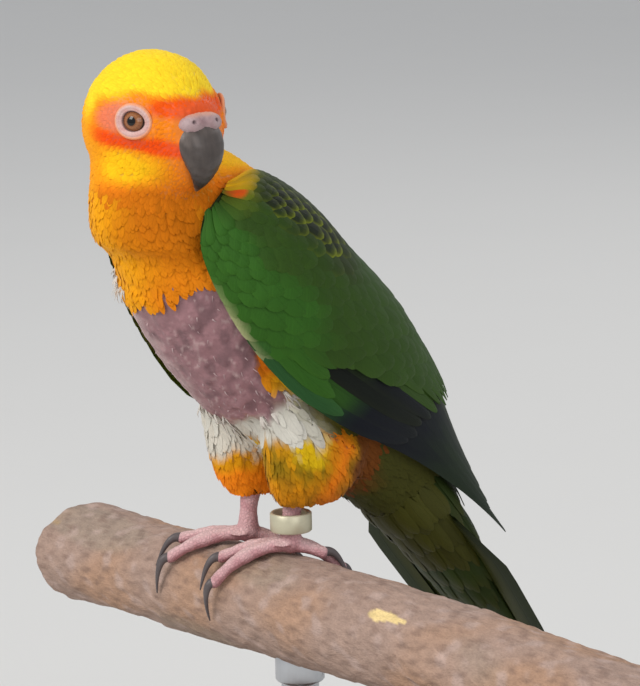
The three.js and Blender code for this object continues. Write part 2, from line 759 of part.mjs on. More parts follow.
function makeClaw(mirror, toe, grow) {
  const path = clawPath(mirror, toe);
  const taper = (i) => (i / (path.length - 1)) ** 0.9;
  const radii = path.map((p, i) => mix(CLAW_RADIUS.root, CLAW_RADIUS.tip, taper(i)) + grow);
  return tubeAlong(path, radii, 6);
}

function makeShank(mirror) {
  const side = (mirror * FOOT_SPACING) / 2;
  const points = SHANK.map((row) => vector(side, row.back, row.up));
  const radii = SHANK.map((row) => row.radius);
  const shank = tubeAlong(points, radii, 12);
  return cut(shank, [makeAnkle(mirror, GAP), standingForm(THIGH, GAP, mirror, 6, 16)]);
}

function makeLegRing() {
  const inner = RING_RADIUS - RING_WALL;
  const profile = [
    [inner, 0],
    [RING_RADIUS, 0],
    [RING_RADIUS, RING_HEIGHT],
    [inner, RING_HEIGHT],
    [inner, 0],
  ].map(([r, z]) => new THREE.Vector2(r, z));
  const geometry = new THREE.LatheGeometry(profile, 28);
  geometry.rotateX(Math.PI / 2);
  geometry.translate(FOOT_SPACING / 2, RING_PLACE.back, RING_PLACE.up);
  return solidOf(geometry);
}

// Seeded noise for the bark's swellings
function seededRandom(seed) {
  let state = seed;
  return () => {
    state = (state * 1664525 + 1013904223) % 4294967296;
    return state / 4294967296;
  };
}

function makePerch(grow) {
  const random = seededRandom(11);
  const sides = 18;
  const steps = 18;
  const waves = [0, 1, 2].map(() => random() * 2 * Math.PI);
  const rings = [];
  for (let i = 0; i <= steps; i++) {
    const along = mix(PERCH_LEFT, PERCH_RIGHT, i / steps);
    const away = Math.min(1, Math.max(0, (Math.abs(along - BIRD_X) - BARK.smoothFor) / BARK.blend));
    const pastBend = Math.max(0, along - PERCH_END.sagFrom) / (PERCH_RIGHT - PERCH_END.sagFrom);
    const sag = PERCH_DROOP * pastBend ** 2;
    const ring = [];
    for (let j = 0; j < sides; j++) {
      const a = (2 * Math.PI * j) / sides;
      const swell = BARK.swell * Math.sin(along / 17 + waves[0]) - BARK.sunk;
      const oval = BARK.oval * Math.sin(2 * a + along / 23 + waves[1]);
      const knot = BARK.knot * Math.sin(3 * a - along / 11 + waves[2]);
      const edge = Math.min(along - PERCH_LEFT, PERCH_RIGHT - along) < 1 ? -PERCH_END.rounded : 0;
      const slope = i === 0 ? PERCH_END.slant * Math.cos(a) + 1 : 0;
      const radius = PERCH_RADIUS + away * (swell + oval + knot) + edge + grow;
      ring.push(vector(along + slope, radius * Math.cos(a), radius * Math.sin(a) - sag));
    }
    rings.push(ring);
  }
  return loft(rings).translate([0, 0, PERCH_TOP - PERCH_RADIUS]);
}

function makeBase() {
  const profile = [
    [0, 0],
    [BASE_RADIUS, 0],
    [BASE_RADIUS, BASE_HEIGHT - BASE_BEVEL],
    [BASE_RADIUS - BASE_BEVEL, BASE_HEIGHT],
    [0, BASE_HEIGHT],
  ].map(([r, z]) => new THREE.Vector2(r, z));
  return solidOf(new THREE.LatheGeometry(profile, 40).rotateX(Math.PI / 2));
}

function makeRod() {
  const top = PERCH_TOP - PERCH_RADIUS;
  const length = top - BASE_HEIGHT - GAP;
  const rod = new THREE.CylinderGeometry(ROD_RADIUS, ROD_RADIUS, length, 24).rotateX(Math.PI / 2);
  rod.translate(0, 0, BASE_HEIGHT + GAP + length / 2);
  return cut(solidOf(rod), [makePerch(GAP)]);
}

const bird = new THREE.Group();
bird.position.set(BIRD_X, 0, PERCH_TOP);
const stand = new THREE.Group();

function addNode(group, name, solid, color, roughness = 0.8, metalness = 0) {
  const material = new THREE.MeshStandardMaterial({ color, roughness, metalness });
  const mesh = new THREE.Mesh(geometryOf(solid), material);
  mesh.name = name;
  group.add(mesh);
}

const sides = { left: 1, right: -1 };
const headRoom = makeHeadForm(GAP);
const torsoRoom = makeTorso(GAP);
const billUpperRoom = makeBillUpper(GAP);
const billLowerRoom = headHorn(BILL_LOWER, GAP, 5, 12);
const wingRooms = [makeWingRoom(1), makeWingRoom(-1)];

const faceTools = [billUpperRoom, billLowerRoom, makeCere(GAP)];
for (const mirror of Object.values(sides)) faceTools.push(makeEye(mirror, GAP), makeLids(mirror, GAP));
addNode(bird, "head", cut(makeHeadForm(0), faceTools), FEATHER_COLOUR.head);
addNode(bird, "cere", cut(makeCere(0), [billUpperRoom, makeNostril(1), makeNostril(-1)]), SKIN_COLOUR.cere);
addNode(bird, "bill_upper", makeBillUpper(0), SKIN_COLOUR.horn, 0.45);
addNode(bird, "bill_lower", cut(headHorn(BILL_LOWER, 0, 5, 12), [billUpperRoom]), SKIN_COLOUR.horn, 0.45);
const neckTools = [headRoom, torsoRoom, billUpperRoom, billLowerRoom, ...wingRooms];
addNode(bird, "neck", cut(standingForm(NECK, 0, 1, 8, 22), neckTools), FEATHER_COLOUR.throat);
addNode(bird, "torso", cut(makeTorso(0), [headRoom, billUpperRoom]), FEATHER_COLOUR.breast);
addNode(bird, "tail", makeTail(), FEATHER_COLOUR.tail);

for (const [side, mirror] of Object.entries(sides)) {
  const thigh = cut(standingForm(THIGH, 0, mirror, 6, 16), [torsoRoom, ...wingRooms]);
  addNode(bird, `eye_${side}`, cut(makeEye(mirror, 0), [makeLids(mirror, GAP)]), SKIN_COLOUR.eye, 0.2);
  addNode(bird, `lids_${side}`, makeLids(mirror, 0), SKIN_COLOUR.cere, 0.6);
  addNode(bird, `wing_${side}`, makeWing(mirror), FEATHER_COLOUR.green);
  addNode(bird, `thigh_${side}`, thigh, FEATHER_COLOUR.thigh);
  addNode(bird, `shank_${side}`, makeShank(mirror), SKIN_COLOUR.pink);
  addNode(bird, `foot_${side}`, makeFoot(mirror, TOES[side]), SKIN_COLOUR.pink, 0.6);
  for (const toe of TOES[side]) {
    addNode(bird, `claw_${side}_${toe.name}`, makeClaw(mirror, toe, 0), SKIN_COLOUR.horn, 0.4);
  }
}
addNode(bird, "leg_ring", makeLegRing(), STAND_COLOUR.ring, 0.4, 0.6);

addNode(stand, "perch", makePerch(0), STAND_COLOUR.bark, 0.9);
addNode(stand, "stand_base", makeBase(), STAND_COLOUR.wood, 0.5);
addNode(stand, "stand_rod", makeRod(), STAND_COLOUR.steel, 0.35, 0.9);

const model = new THREE.Group();
model.add(bird, stand);
export default model;
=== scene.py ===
# A sun conure at life size, still, gripping a cut length of branch on a plain display stand.
# The bird's own measures are in millimetres to its left (side), back and up, from the top of the
# branch between its feet. placed() turns them into the frame's metres.
import math

import bmesh
import bpy
import numpy as np
from mathutils import Matrix, Vector
from mathutils.bvhtree import BVHTree


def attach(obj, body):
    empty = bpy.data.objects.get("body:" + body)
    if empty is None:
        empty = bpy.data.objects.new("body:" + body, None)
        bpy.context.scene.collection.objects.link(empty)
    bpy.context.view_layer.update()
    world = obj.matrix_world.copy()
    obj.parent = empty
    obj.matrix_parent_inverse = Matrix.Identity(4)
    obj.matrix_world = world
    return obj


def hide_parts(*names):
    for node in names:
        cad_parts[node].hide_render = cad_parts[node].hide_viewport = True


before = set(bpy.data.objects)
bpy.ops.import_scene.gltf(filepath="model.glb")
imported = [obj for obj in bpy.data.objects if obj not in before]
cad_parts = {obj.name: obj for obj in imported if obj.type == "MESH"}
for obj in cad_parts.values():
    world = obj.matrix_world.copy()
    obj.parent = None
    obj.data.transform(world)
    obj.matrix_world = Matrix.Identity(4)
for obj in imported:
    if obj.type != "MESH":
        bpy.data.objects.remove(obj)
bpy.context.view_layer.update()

MM = 0.001
BIRD_X = -12
PERCH_TOP = 105

# The trunk's axis from the neck back to the wing tips: back, up, half width, half depth
TRUNK = np.array([
    (-32, 95.5, 9, 12),
    (-25.5, 86.5, 16.5, 19.5),
    (-12.5, 71, 22.5, 24),
    (1.8, 54.2, 23, 25),
    (18, 39, 20.5, 23.8),
    (32.5, 25, 16, 19.5),
    (45, 9.5, 12.4, 13.5),
    (57.5, -7, 10.5, 9.5),
    (71, -25, 10, 7.5),
    (80, -37, 10, 6),
], float)
TAIL_ROOT = 6

# The head from nape to forehead: ahead, half width, half height, height of its middle
HEAD = np.array([
    (-19.2, 0.6, 0.6, -0.5),
    (-17.4, 7.6, 8, -0.4),
    (-13.2, 12.8, 13.4, 0),
    (-6.5, 16.2, 16.8, 0.2),
    (0, 16.2, 17.4, 0),
    (6, 13.8, 16.6, -0.2),
    (11, 11.2, 13.8, -1),
    (14.8, 8.2, 10, -1.6),
    (16.8, 5, 6, -1.8),
], float)
HEAD_PLACE = np.array((2.7, -30.2, 105.6))
HEAD_NOD = math.radians(2)
EYE_AHEAD = 7.4
EYE_ANGLE = 11
EYE_RADIUS = 3.3

# One folded wing from its front to its tip: place along the trunk, lower and upper edge in degrees,
# depth of the fleshy part, and how far the feathers rise off the trunk
WING = np.array([
    (0.9, -8, 24, 1.2, 0),
    (1.2, -25, 46, 2.4, 0),
    (1.95, -35, 61, 3, 0),
    (2.9, -34, 72, 2.6, 0),
    (4.0, -26, 80, 1.7, 0),
    (5.2, -10, 84, 1, 0.6),
    (6.3, 14, 84, 1, 2),
    (7.3, 38, 76, 1, 3.6),
], float)
WING_FLESH = (0.93, 4.1)
WING_LIFT = 0.65
RIGHT_WING_DROOP = 11
DROOP_FROM = 1.5
DROOP_TO = 5

TAIL_LENGTH = 128
TAIL_HIDDEN = 10
TAIL_SHORTEST = 0.58
TAIL_PAIRS = 6
TAIL_FLESH_LENGTH = 50

# The upper bill fans round a pivot in the head: turn in degrees, its two edges and half width
BILL_PIVOT = (9.6, -7.6)
BILL_UPPER = np.array([
    (85, 1.8, 12.4, 6),
    (60, 2.6, 12.2, 6.3),
    (35, 3.4, 11.3, 6),
    (10, 4.2, 10, 5),
    (-15, 5, 8.6, 3.5),
    (-38, 6, 7.9, 1.8),
    (-54, 7, 7.7, 0.5),
], float)
BILL_LOWER = np.array([
    (7.8, -9.4, 4.6, 2.8),
    (10.2, -10.2, 4.4, 2.6),
    (12.2, -11.1, 3.4, 1.9),
    (13.2, -11.8, 2, 0.9),
])

# The oval of the bare lids: its middle line's reach ahead and up, and the fold's own width and height
LID_AHEAD = 3.5
LID_UP = 3
LID_WIDE = 1.1
LID_TALL = 0.55

PERCH_RADIUS = 12.8
PERCH_LEFT = -87
PERCH_RIGHT = 128
PERCH_DROOP = 6
FOOT_SPACING = 16
ANKLE_FORWARD = -1.5
CLAW_LENGTH = 8.5
CLAW_SEAT = 1.2
CLAW_STRAIGHTEN = 0.45
RING_RADIUS = 5
RING_WALL = 0.9
RING_HEIGHT = 4.6

# Each toe's heading in degrees and its length
TOES = {
    "right": {
        "inner_front": (44, 22),
        "outer_front": (60, 19),
        "inner_back": (218, 9),
        "outer_back": (198, 15),
    },
    "left": {
        "inner_front": (50, 19),
        "outer_front": (32, 22.5),
        "inner_back": (228, 9),
        "outer_back": (206, 15),
    },
}
MIRRORS = {"left": 1, "right": -1}


# Measures and curves

def placed(points):
    """Bird's millimetres into the frame's metres."""
    return (np.asarray(points, float) + (BIRD_X, 0, PERCH_TOP)) * MM


def unplaced(points):
    return np.asarray(points, float) / MM - (BIRD_X, 0, PERCH_TOP)


def mix(a, b, t):
    return a + (b - a) * t


def ramp(value, start, end):
    """0 before start, 1 past end, smooth between."""
    t = np.clip((value - start) / (end - start), 0, 1)
    return t * t * (3 - 2 * t)


def bump(value, middle, reach):
    """1 at the middle, falling smoothly to 0 a reach away."""
    return 1 - ramp(np.abs(value - middle), 0, reach)


def between(rows, place):
    """Smooth curve through the rows, read at places between 0 and the last row."""
    last = len(rows) - 1
    held = np.clip(np.asarray(place, float), 0, last)
    i = np.minimum(held.astype(int), last - 1)
    t = (held - i)[..., None]
    a = rows[i]
    b = rows[i + 1]
    before = np.where((i > 0)[..., None], rows[np.maximum(i - 1, 0)], 2 * a - b)
    after = np.where((i + 2 <= last)[..., None], rows[np.minimum(i + 2, last)], 2 * b - a)
    slope_a = (b - before) / 2
    slope_b = (after - a) / 2
    return (
        (2 * t**3 - 3 * t**2 + 1) * a
        + (t**3 - 2 * t**2 + t) * slope_a
        + (3 * t**2 - 2 * t**3) * b
        + (t**3 - t**2) * slope_b
    )


def row_where(rows, value):
    """The row at which the first, rising value is reached."""
    places = np.linspace(0, len(rows) - 1, 1200)
    return between(rows, np.interp(value, between(rows, places)[:, 0], places))


def unit(vectors):
    return vectors / np.maximum(np.linalg.norm(vectors, axis=-1, keepdims=True), 1e-9)


def trunk_frame(place):
    place = np.asarray(place, float)
    row = between(TRUNK, place)
    run = between(TRUNK, place + 0.05) - between(TRUNK, place - 0.05)
    zero = np.zeros(place.shape)
    along = unit(np.stack([zero, run[..., 0], run[..., 1]], -1))
    outward = np.stack([zero, -along[..., 2], along[..., 1]], -1)
    centre = np.stack([zero, row[..., 0], row[..., 1]], -1)
    return row, along, outward, centre


LEFT = np.array((1.0, 0, 0))


def over_trunk(place, degrees, lift, mirror=1):
    """A point over the trunk: 0 degrees is the bird's side, 90 its back."""
    row, _, outward, centre = trunk_frame(place)
    a = np.radians(degrees)
    wide = (mirror * (row[..., 2] + lift) * np.cos(a))[..., None]
    deep = ((row[..., 3] + lift) * np.sin(a))[..., None]
    return centre + wide * LEFT + deep * outward


def trunk_place(points):
    """Place along the trunk of each point, and its angle from the back: 0 back, 90 side, 180 belly."""
    places = np.linspace(0, len(TRUNK) - 1, 460)
    axis = between(TRUNK, places)
    found = np.empty(len(points), int)
    for start in range(0, len(points), 20000):
        some = points[start:start + 20000]
        away = (some[:, 1:2] - axis[:, 0]) ** 2 + (some[:, 2:3] - axis[:, 1]) ** 2
        found[start:start + 20000] = away.argmin(1)
    place = places[found]
    row, _, outward, centre = trunk_frame(place)
    off = ((points - centre) * outward).sum(1)
    from_back = np.degrees(np.arctan2(np.abs(points[:, 0]) / row[:, 2], off / row[:, 3]))
    return place, from_back


COS_NOD = math.cos(HEAD_NOD)
SIN_NOD = math.sin(HEAD_NOD)
HEAD_AXES = np.array(((COS_NOD, 0, -SIN_NOD), (0, 1, 0), (SIN_NOD, 0, COS_NOD)))


def head_point(ahead, left, up):
    return np.stack(np.broadcast_arrays(ahead, left, up), -1) @ HEAD_AXES + HEAD_PLACE


def head_direction(ahead, left, up):
    return np.stack(np.broadcast_arrays(ahead, left, up), -1) @ HEAD_AXES


def in_head(points):
    """Points in the head's own measures: ahead, to its left, up."""
    return (points - HEAD_PLACE) @ HEAD_AXES.T


def over_head(ahead, degrees, lift, mirror=1):
    row = row_where(HEAD, ahead)
    a = np.radians(degrees)
    left = mirror * (row[..., 1] + lift) * np.cos(a)
    return head_point(ahead, left, row[..., 3] + (row[..., 2] + lift) * np.sin(a))


def eye_middle(mirror):
    return over_head(np.array(EYE_AHEAD), EYE_ANGLE, 0, mirror)


def rgb(red, green, blue):
    """A colour seen on screen as the light that it stands for."""
    c = np.array((red, green, blue)) / 255
    return np.where(c <= 0.04045, c / 12.92, ((c + 0.055) / 1.055) ** 2.4)


WAVE_COUNT = 5
WAVE_SUM = 2.6


def waves(points, size, seed):
    """Soft swirls mostly between -1 and 1, about size across."""
    dice = np.random.default_rng(seed)
    total = np.zeros(len(points))
    for _ in range(WAVE_COUNT):
        heading = unit(dice.normal(size=3))
        phase = points @ heading * (2 * math.pi / size) * dice.uniform(0.6, 1.5)
        total += np.sin(phase + dice.uniform(0, 6.3))
    return total / WAVE_SUM


# Meshes

CARRIED = "Plumage"


def new_object(name, mesh):
    made = bpy.data.objects.new(name, mesh)
    bpy.context.scene.collection.objects.link(made)
    return made


def smooth_object(name, bm):
    mesh = bpy.data.meshes.new(name)
    bm.to_mesh(mesh)
    bm.free()
    mesh.shade_smooth()
    return new_object(name, mesh)


def move_verts(bm, points):
    """Sets a form's vertices at the bird's points."""
    for vert, point in zip(bm.verts, placed(points)):
        vert.co = point


def unit_ball(around, upward):
    """A ball of radius 1, and where its vertices are."""
    bm = bmesh.new()
    bmesh.ops.create_uvsphere(bm, u_segments=around, v_segments=upward, radius=1)
    return bm, np.array([vert.co for vert in bm.verts])


MERGE = 1e-7


def swept_form(place, along, around, capped=True):
    """A closed form from a sheet: place(u, v) gives bird points, with v going round."""
    bm = bmesh.new()
    layer = bm.loops.layers.uv.new("Wrap")
    bmesh.ops.create_grid(bm, x_segments=along, y_segments=around, size=0.5)
    flat = np.array([vert.co for vert in bm.verts]) + 0.5
    for face in bm.faces:
        for corner in face.loops:
            corner[layer].uv = (corner.vert.co.x + 0.5, corner.vert.co.y + 0.5)
    move_verts(bm, place(flat[:, 0], flat[:, 1]))
    bmesh.ops.remove_doubles(bm, verts=bm.verts, dist=MERGE)
    if capped:
        rim = [edge for edge in bm.edges if edge.is_boundary]
        bmesh.ops.holes_fill(bm, edges=rim, sides=0)
    bmesh.ops.recalc_face_normals(bm, faces=bm.faces)
    return bm


def ellipse_points(centre, across, upward, wide, deep, v):
    a = v * 2 * math.pi
    return centre + across * (wide * np.cos(a))[:, None] + upward * (deep * np.sin(a))[:, None]


def joined(forms):
    whole = bmesh.new()
    for bm in forms:
        mesh = bpy.data.meshes.new("form")
        bm.to_mesh(mesh)
        bm.free()
        whole.from_mesh(mesh)
        bpy.data.meshes.remove(mesh)
    return whole


def fused(bm, voxel):
    """One closed surface round all forms."""
    mesh = bpy.data.meshes.new("fused")
    bm.to_mesh(mesh)
    bm.free()
    holder = new_object("fused", mesh)
    melt = holder.modifiers.new("melt", "REMESH")
    melt.mode = "VOXEL"
    melt.voxel_size = voxel * MM
    whole = bmesh.new()
    whole.from_object(holder, bpy.context.evaluated_depsgraph_get())
    bpy.data.objects.remove(holder)
    return whole


def evened(bm, times):
    for _ in range(times):
        bmesh.ops.smooth_vert(
            bm, verts=bm.verts, factor=0.5, use_axis_x=True, use_axis_y=True, use_axis_z=True
        )


def node_form(name, grow):
    """A CAD node's surface as one closed form, grown a little."""
    bm = bmesh.new()
    bm.from_mesh(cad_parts[name].data)
    bmesh.ops.remove_doubles(bm, verts=bm.verts, dist=MERGE)
    bm.normal_update()
    moves = [vert.normal * grow * MM for vert in bm.verts]
    for vert, move in zip(bm.verts, moves):
        vert.co += move
    return bm


def seated(piece, slot, *nodes):
    """Says a piece's body and the solids whose place it takes; the slot is not used."""
    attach(piece, "root")
    if nodes:
        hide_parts(*nodes)


def paint(obj, colours):
    """Colours of the vertices, which the finishes read."""
    layer = obj.data.color_attributes.new(CARRIED, "FLOAT_COLOR", "POINT")
    full = np.ones((len(colours), 4), np.float32)
    full[:, :3] = colours
    layer.data.foreach_set("color", full.ravel())


def vertex_points(obj):
    flat = np.empty(len(obj.data.vertices) * 3)
    obj.data.vertices.foreach_get("co", flat)
    return flat.reshape(-1, 3)


def vertex_normals(obj):
    flat = np.empty(len(obj.data.vertices) * 3)
    obj.data.vertex_normals.foreach_get("vector", flat)
    return flat.reshape(-1, 3)


# Vanes: one small lens-shaped form, repeated in arrays

def vane_shape(along, across):
    """A flat lens over u from root to tip and v from edge to edge: its (u, v, side) and its faces."""
    bm = bmesh.new()
    bmesh.ops.create_grid(bm, x_segments=along, y_segments=across, size=0.5)
    bmesh.ops.translate(bm, verts=bm.verts, vec=(0.5, 0.5, 0))
    copy = bmesh.ops.duplicate(bm, geom=bm.verts[:] + bm.edges[:] + bm.faces[:])["geom"]
    under = [item for item in copy if isinstance(item, bmesh.types.BMVert)]
    bmesh.ops.reverse_faces(bm, faces=[item for item in copy if isinstance(item, bmesh.types.BMFace)])
    hidden = set(under)
    for vert in bm.verts:
        rim = min(vert.co.x, vert.co.y, 1 - vert.co.x, 1 - vert.co.y) < 1e-6
        vert.co.z = 0 if rim else (-1 if vert in hidden else 1)
    bmesh.ops.remove_doubles(bm, verts=bm.verts, dist=1e-6)
    bm.verts.index_update()
    shape = np.array([vert.co for vert in bm.verts])
    faces = [[vert.index for vert in face.verts] for face in bm.faces]
    bm.free()
    return shape, np.array(faces)


COAT_ALONG = 4
SMALL_VANE = vane_shape(COAT_ALONG, 2)
COVERT_VANE = vane_shape(7, 4)
FINE_VANE = vane_shape(14, 4)


def vane_outline(u):
    """Share of its full width that a feather has between its root and its tip."""
    root = np.minimum(1, 0.6 + 2 * u)
    tip = np.sqrt(np.maximum(0.03, 1 - np.maximum(0, (u - 0.6) / 0.405) ** 2))
    return root * tip


def tuft_outline(u):
    """The same for a small soft feather, which narrows sooner."""
    root = np.minimum(1, 0.7 + 1.5 * u)
    return root * np.sqrt(np.maximum(0.02, 1 - np.maximum(0, (u - 0.35) / 0.66) ** 2.2))


def vane_step(t):
    """Steps along a feather lie closer towards its rounded tip."""
    return 1 - (1 - t) ** 1.6


PATCH_SIZE = 0.003


def feather_mesh(name, shape, points, colours, patches):
    """Joins many vanes: points and colours per vane and vertex, patches their place on the skin's unwrap."""
    form, faces = shape
    count = len(points)
    size = len(form)
    mesh = bpy.data.meshes.new(name)
    mesh.vertices.add(count * size)
    mesh.vertices.foreach_set("co", placed(points.reshape(-1, 3)).ravel())
    corners = (faces[None] + (np.arange(count) * size)[:, None, None]).reshape(-1)
    mesh.loops.add(len(corners))
    mesh.loops.foreach_set("vertex_index", corners.astype(np.int32))
    mesh.polygons.add(count * len(faces))
    mesh.polygons.foreach_set("loop_start", np.arange(0, len(corners), 4, dtype=np.int32))
    mesh.update(calc_edges=True)
    mesh.validate()
    mesh.shade_smooth()
    rim = np.minimum(form[:, :2], 1 - form[:, :2]).min(1) < 1e-5
    ends = np.empty(len(mesh.edges) * 2, np.int32)
    mesh.edges.foreach_get("vertices", ends)
    crisp = mesh.attributes.new("sharp_edge", "BOOLEAN", "EDGE")
    crisp.data.foreach_set("value", rim[ends % size].reshape(-1, 2).all(1))
    corner_form = corners % size
    vane_map = mesh.uv_layers.new(name="Vane")
    vane_map.data.foreach_set("uv", form[corner_form][:, :2].astype(np.float32).ravel())
    patch = patches[corners // size] + PATCH_SIZE * (form[corner_form][:, :2] - 0.5)
    bake_map = mesh.uv_layers.new(name="OFBake")
    bake_map.data.foreach_set("uv", patch.astype(np.float32).ravel())
    made = new_object(name, mesh)
    paint(made, np.clip(colours.reshape(-1, 3), 0, 1))
    return made


UNWRAP_ENDS = (0.005, 0.995)


def skin_patch(points):
    """Where a point lies on an unwrap of the body: round it, and along it."""
    place, from_back = trunk_place(points)
    round_it = 0.5 + np.sign(points[:, 0]) * from_back / 370
    return np.clip(np.stack([round_it, place / 9], -1), *UNWRAP_ENDS)


def head_patch(points):
    local = in_head(points)
    round_it = 0.5 + np.arctan2(local[:, 1], local[:, 2]) / (2 * math.pi)
    return np.clip(np.stack([round_it, (local[:, 0] + 20) / 40], -1), *UNWRAP_ENDS)


# Colours, as they are seen on screen

YELLOW = rgb(252, 192, 18)
CROWN = rgb(255, 216, 38)
GOLD = rgb(240, 162, 10)
EAR_GOLD = rgb(246, 152, 16)
FACE_ORANGE = rgb(246, 128, 18)
RED_ORANGE = rgb(240, 78, 10)
EYE_PINK = rgb(226, 118, 96)
# Partly the throat's own tone, partly painted shade: darker than the breast where the head shades it
THROAT_ORANGE = rgb(194, 106, 2)
BREAST_ORANGE = rgb(218, 124, 8)
# Rust-brown, partly the plumage's own colour and partly painted shade on the sides away from the light and
# behind the legs
SHADED_RUST = rgb(112, 62, 18)
OLIVE_GOLD = rgb(112, 104, 24)
THIGH_GOLD = rgb(214, 146, 10)
THIGH_YELLOW = rgb(222, 182, 16)
THIGH_OLIVE = rgb(112, 98, 14)
OLIVE = rgb(66, 66, 22)
DARK_OLIVE = rgb(44, 56, 22)
YELLOW_GREEN = rgb(124, 134, 26)
LEAF_GREEN = rgb(48, 92, 26)
MOSS_GREEN = rgb(48, 74, 22)
BLUE_GREEN = rgb(38, 78, 48)
NAVY = rgb(16, 20, 28)
BLACK_GREEN = rgb(16, 22, 16)
SLATE_GREEN = rgb(28, 40, 26)
CREAM = rgb(206, 198, 150)
LIT_TAIL_STRIPE = rgb(186, 176, 84)
DOWN_WHITE = rgb(208, 204, 192)
BARE_PINK = rgb(148, 108, 112)
BARE_PALE = rgb(188, 160, 158)
BARE_DARK = rgb(104, 74, 78)
BILL_GREY = rgb(76, 68, 64)
BILL_PALE = rgb(110, 98, 92)
BILL_TIP = rgb(46, 42, 40)
BILL_EDGE = rgb(130, 108, 92)
LOWER_BILL = rgb(96, 84, 80)
LOWER_BILL_TIP = rgb(60, 54, 52)
NAIL_GREY = rgb(88, 80, 80)
CERE_GREY = rgb(176, 152, 152)
CERE_ROSE = rgb(156, 122, 124)
CERE_EDGE = rgb(232, 150, 96)
NOSTRIL_SHADE = rgb(92, 70, 74)
IRIS = rgb(150, 92, 52)
IRIS_DARK = rgb(84, 46, 24)
IRIS_RING = rgb(166, 112, 68)
PUPIL = rgb(4, 3, 3)
IRIS_RIM = rgb(30, 16, 12)
EYE_BACK_SHADE = rgb(20, 12, 10)
LID_PALE = rgb(206, 172, 166)
LID_ROSE = rgb(196, 134, 124)
LID_RIM_SHADE = rgb(96, 66, 62)
LID_EDGE = rgb(236, 146, 84)
TOE_PINK = rgb(206, 160, 162)
TOE_ROSE = rgb(180, 120, 126)
TOE_LIT_TOP = rgb(222, 192, 188)
TOE_SHADED_UNDER = rgb(156, 98, 104)
QUILL_SHEATH = rgb(182, 156, 156)
LOOSE_DOWN = rgb(214, 206, 196)
BARK_GREY = rgb(164, 138, 124)
BARK_TAN = rgb(172, 134, 106)
BARK_MOSS = rgb(146, 136, 120)
BARK_PALE = rgb(184, 160, 150)
BARK_DARK = rgb(122, 98, 86)
CHIP_WOOD = rgb(236, 208, 146)
CUT_WOOD = rgb(196, 164, 118)
BAND_METAL = rgb(196, 190, 164)
STAINED_WOOD = rgb(92, 62, 42)
STEEL = rgb(190, 192, 196)
FLOOR_PALE = rgb(222, 221, 218)


def blended(base, colour, amount):
    return base + (colour - base) * np.asarray(amount)[..., None]


def layered(base, *layers):
    """Lays colours over a base one after another, each by its amount."""
    for colour, amount in layers:
        base = blended(base, colour, amount)
    return base


# Markings, shared by the skin and the coat

def head_markings(points):
    """Yellow crown, orange face with a red streak under the eye and a band over the bill, yellow cheek."""
    local = in_head(points)
    ahead, up = local[:, 0], local[:, 2]
    drift = waves(points, 9, 3)
    front = ramp(ahead + 1.5 * drift, -7, 0)
    cheek = bump(ahead + drift, 4, 11) * bump(up + 0.5 * drift, -8, 6)
    behind_eye = 1 - ramp(np.hypot((ahead - 2.2) / 1.5, up - 3.2) + 0.4 * drift, 2.4, 4.6)
    streak = np.abs(up + 1.4 + 0.16 * ahead) + 0.4 * drift
    band = bump(up + 0.4 * drift, 5.6, 3.6) * ramp(ahead, 8, 12)
    return layered(
        CROWN,
        (EAR_GOLD, 0.9 * ramp(-up + 1.3 * drift, -8, 0)),
        (FACE_ORANGE, 0.9 * front * (1 - ramp(up + drift, 6.5, 9.5))),
        (YELLOW, np.clip(1.6 * cheek, 0, 1)),
        # partly painted shade: the darker throat orange under the head
        (THROAT_ORANGE, 0.8 * ramp(-up + drift, 12, 16)),
        (EYE_PINK, 0.75 * behind_eye),
        (RED_ORANGE, (1 - ramp(streak, 0.8, 2.6)) * ramp(ahead, -7, 0)),
        (RED_ORANGE, 0.9 * np.clip(1.4 * band, 0, 1)),
    )


def trunk_markings(points):
    """Gold and orange front, yellow-green to olive mantle, white vent, and a gold strip on the flank."""
    place, from_back = trunk_place(points)
    side, _, up = points.T
    drift = waves(points, 14, 8)
    mantle = layered(
        YELLOW,
        (YELLOW_GREEN, ramp(place + 0.1 * drift, 1.3, 1.8)),
        (DARK_OLIVE, ramp(place + 0.15 * drift, 1.7, 2.3)),
        (OLIVE, ramp(place, 4.4, 5.6)),
    )
    front = layered(
        # partly painted shade: the throat is darker than the breast below it
        THROAT_ORANGE,
        (BREAST_ORANGE, ramp(-up + 1.5 * drift, -82, -72)),
        (GOLD, ramp(-side + 2 * drift, -11, 3)),
        # partly a redder tone, partly painted shade: rust-brown low on the bird's left, away from the light
        (SHADED_RUST, 0.45 * ramp(side + drift, 14, 20) * ramp(-up, -92, -80)),
    )
    vent = layered(
        DOWN_WHITE,
        # partly the vent's own rust-orange, partly painted shade behind the legs
        (SHADED_RUST, ramp(place + 0.15 * drift, 3.7, 4.3)),
        (OLIVE, ramp(place + 0.15 * drift, 4.8, 5.4)),
    )
    beside = blended(OLIVE_GOLD, OLIVE, ramp(place, 3.7, 4.3))
    belly = blended(vent, beside, 1 - ramp(from_back + 4 * drift, 118, 134))
    front = blended(front, belly, ramp(place, 3.0, 3.3))
    flank = layered(
        FACE_ORANGE,
        (YELLOW, ramp(place, 2.8, 3.0)),
        (CREAM, ramp(place, 3.1, 3.3)),
    )
    on_flank = bump(from_back, 118, 22) * ramp(place, 2.3, 2.6) * (1 - ramp(place, 3.2, 3.45))
    return layered(
        front,
        (flank, on_flank),
        (mantle, 1 - ramp(from_back + 4 * drift, 62, 92)),
    )


THIGH_SPOT = (0.6, 26.6)


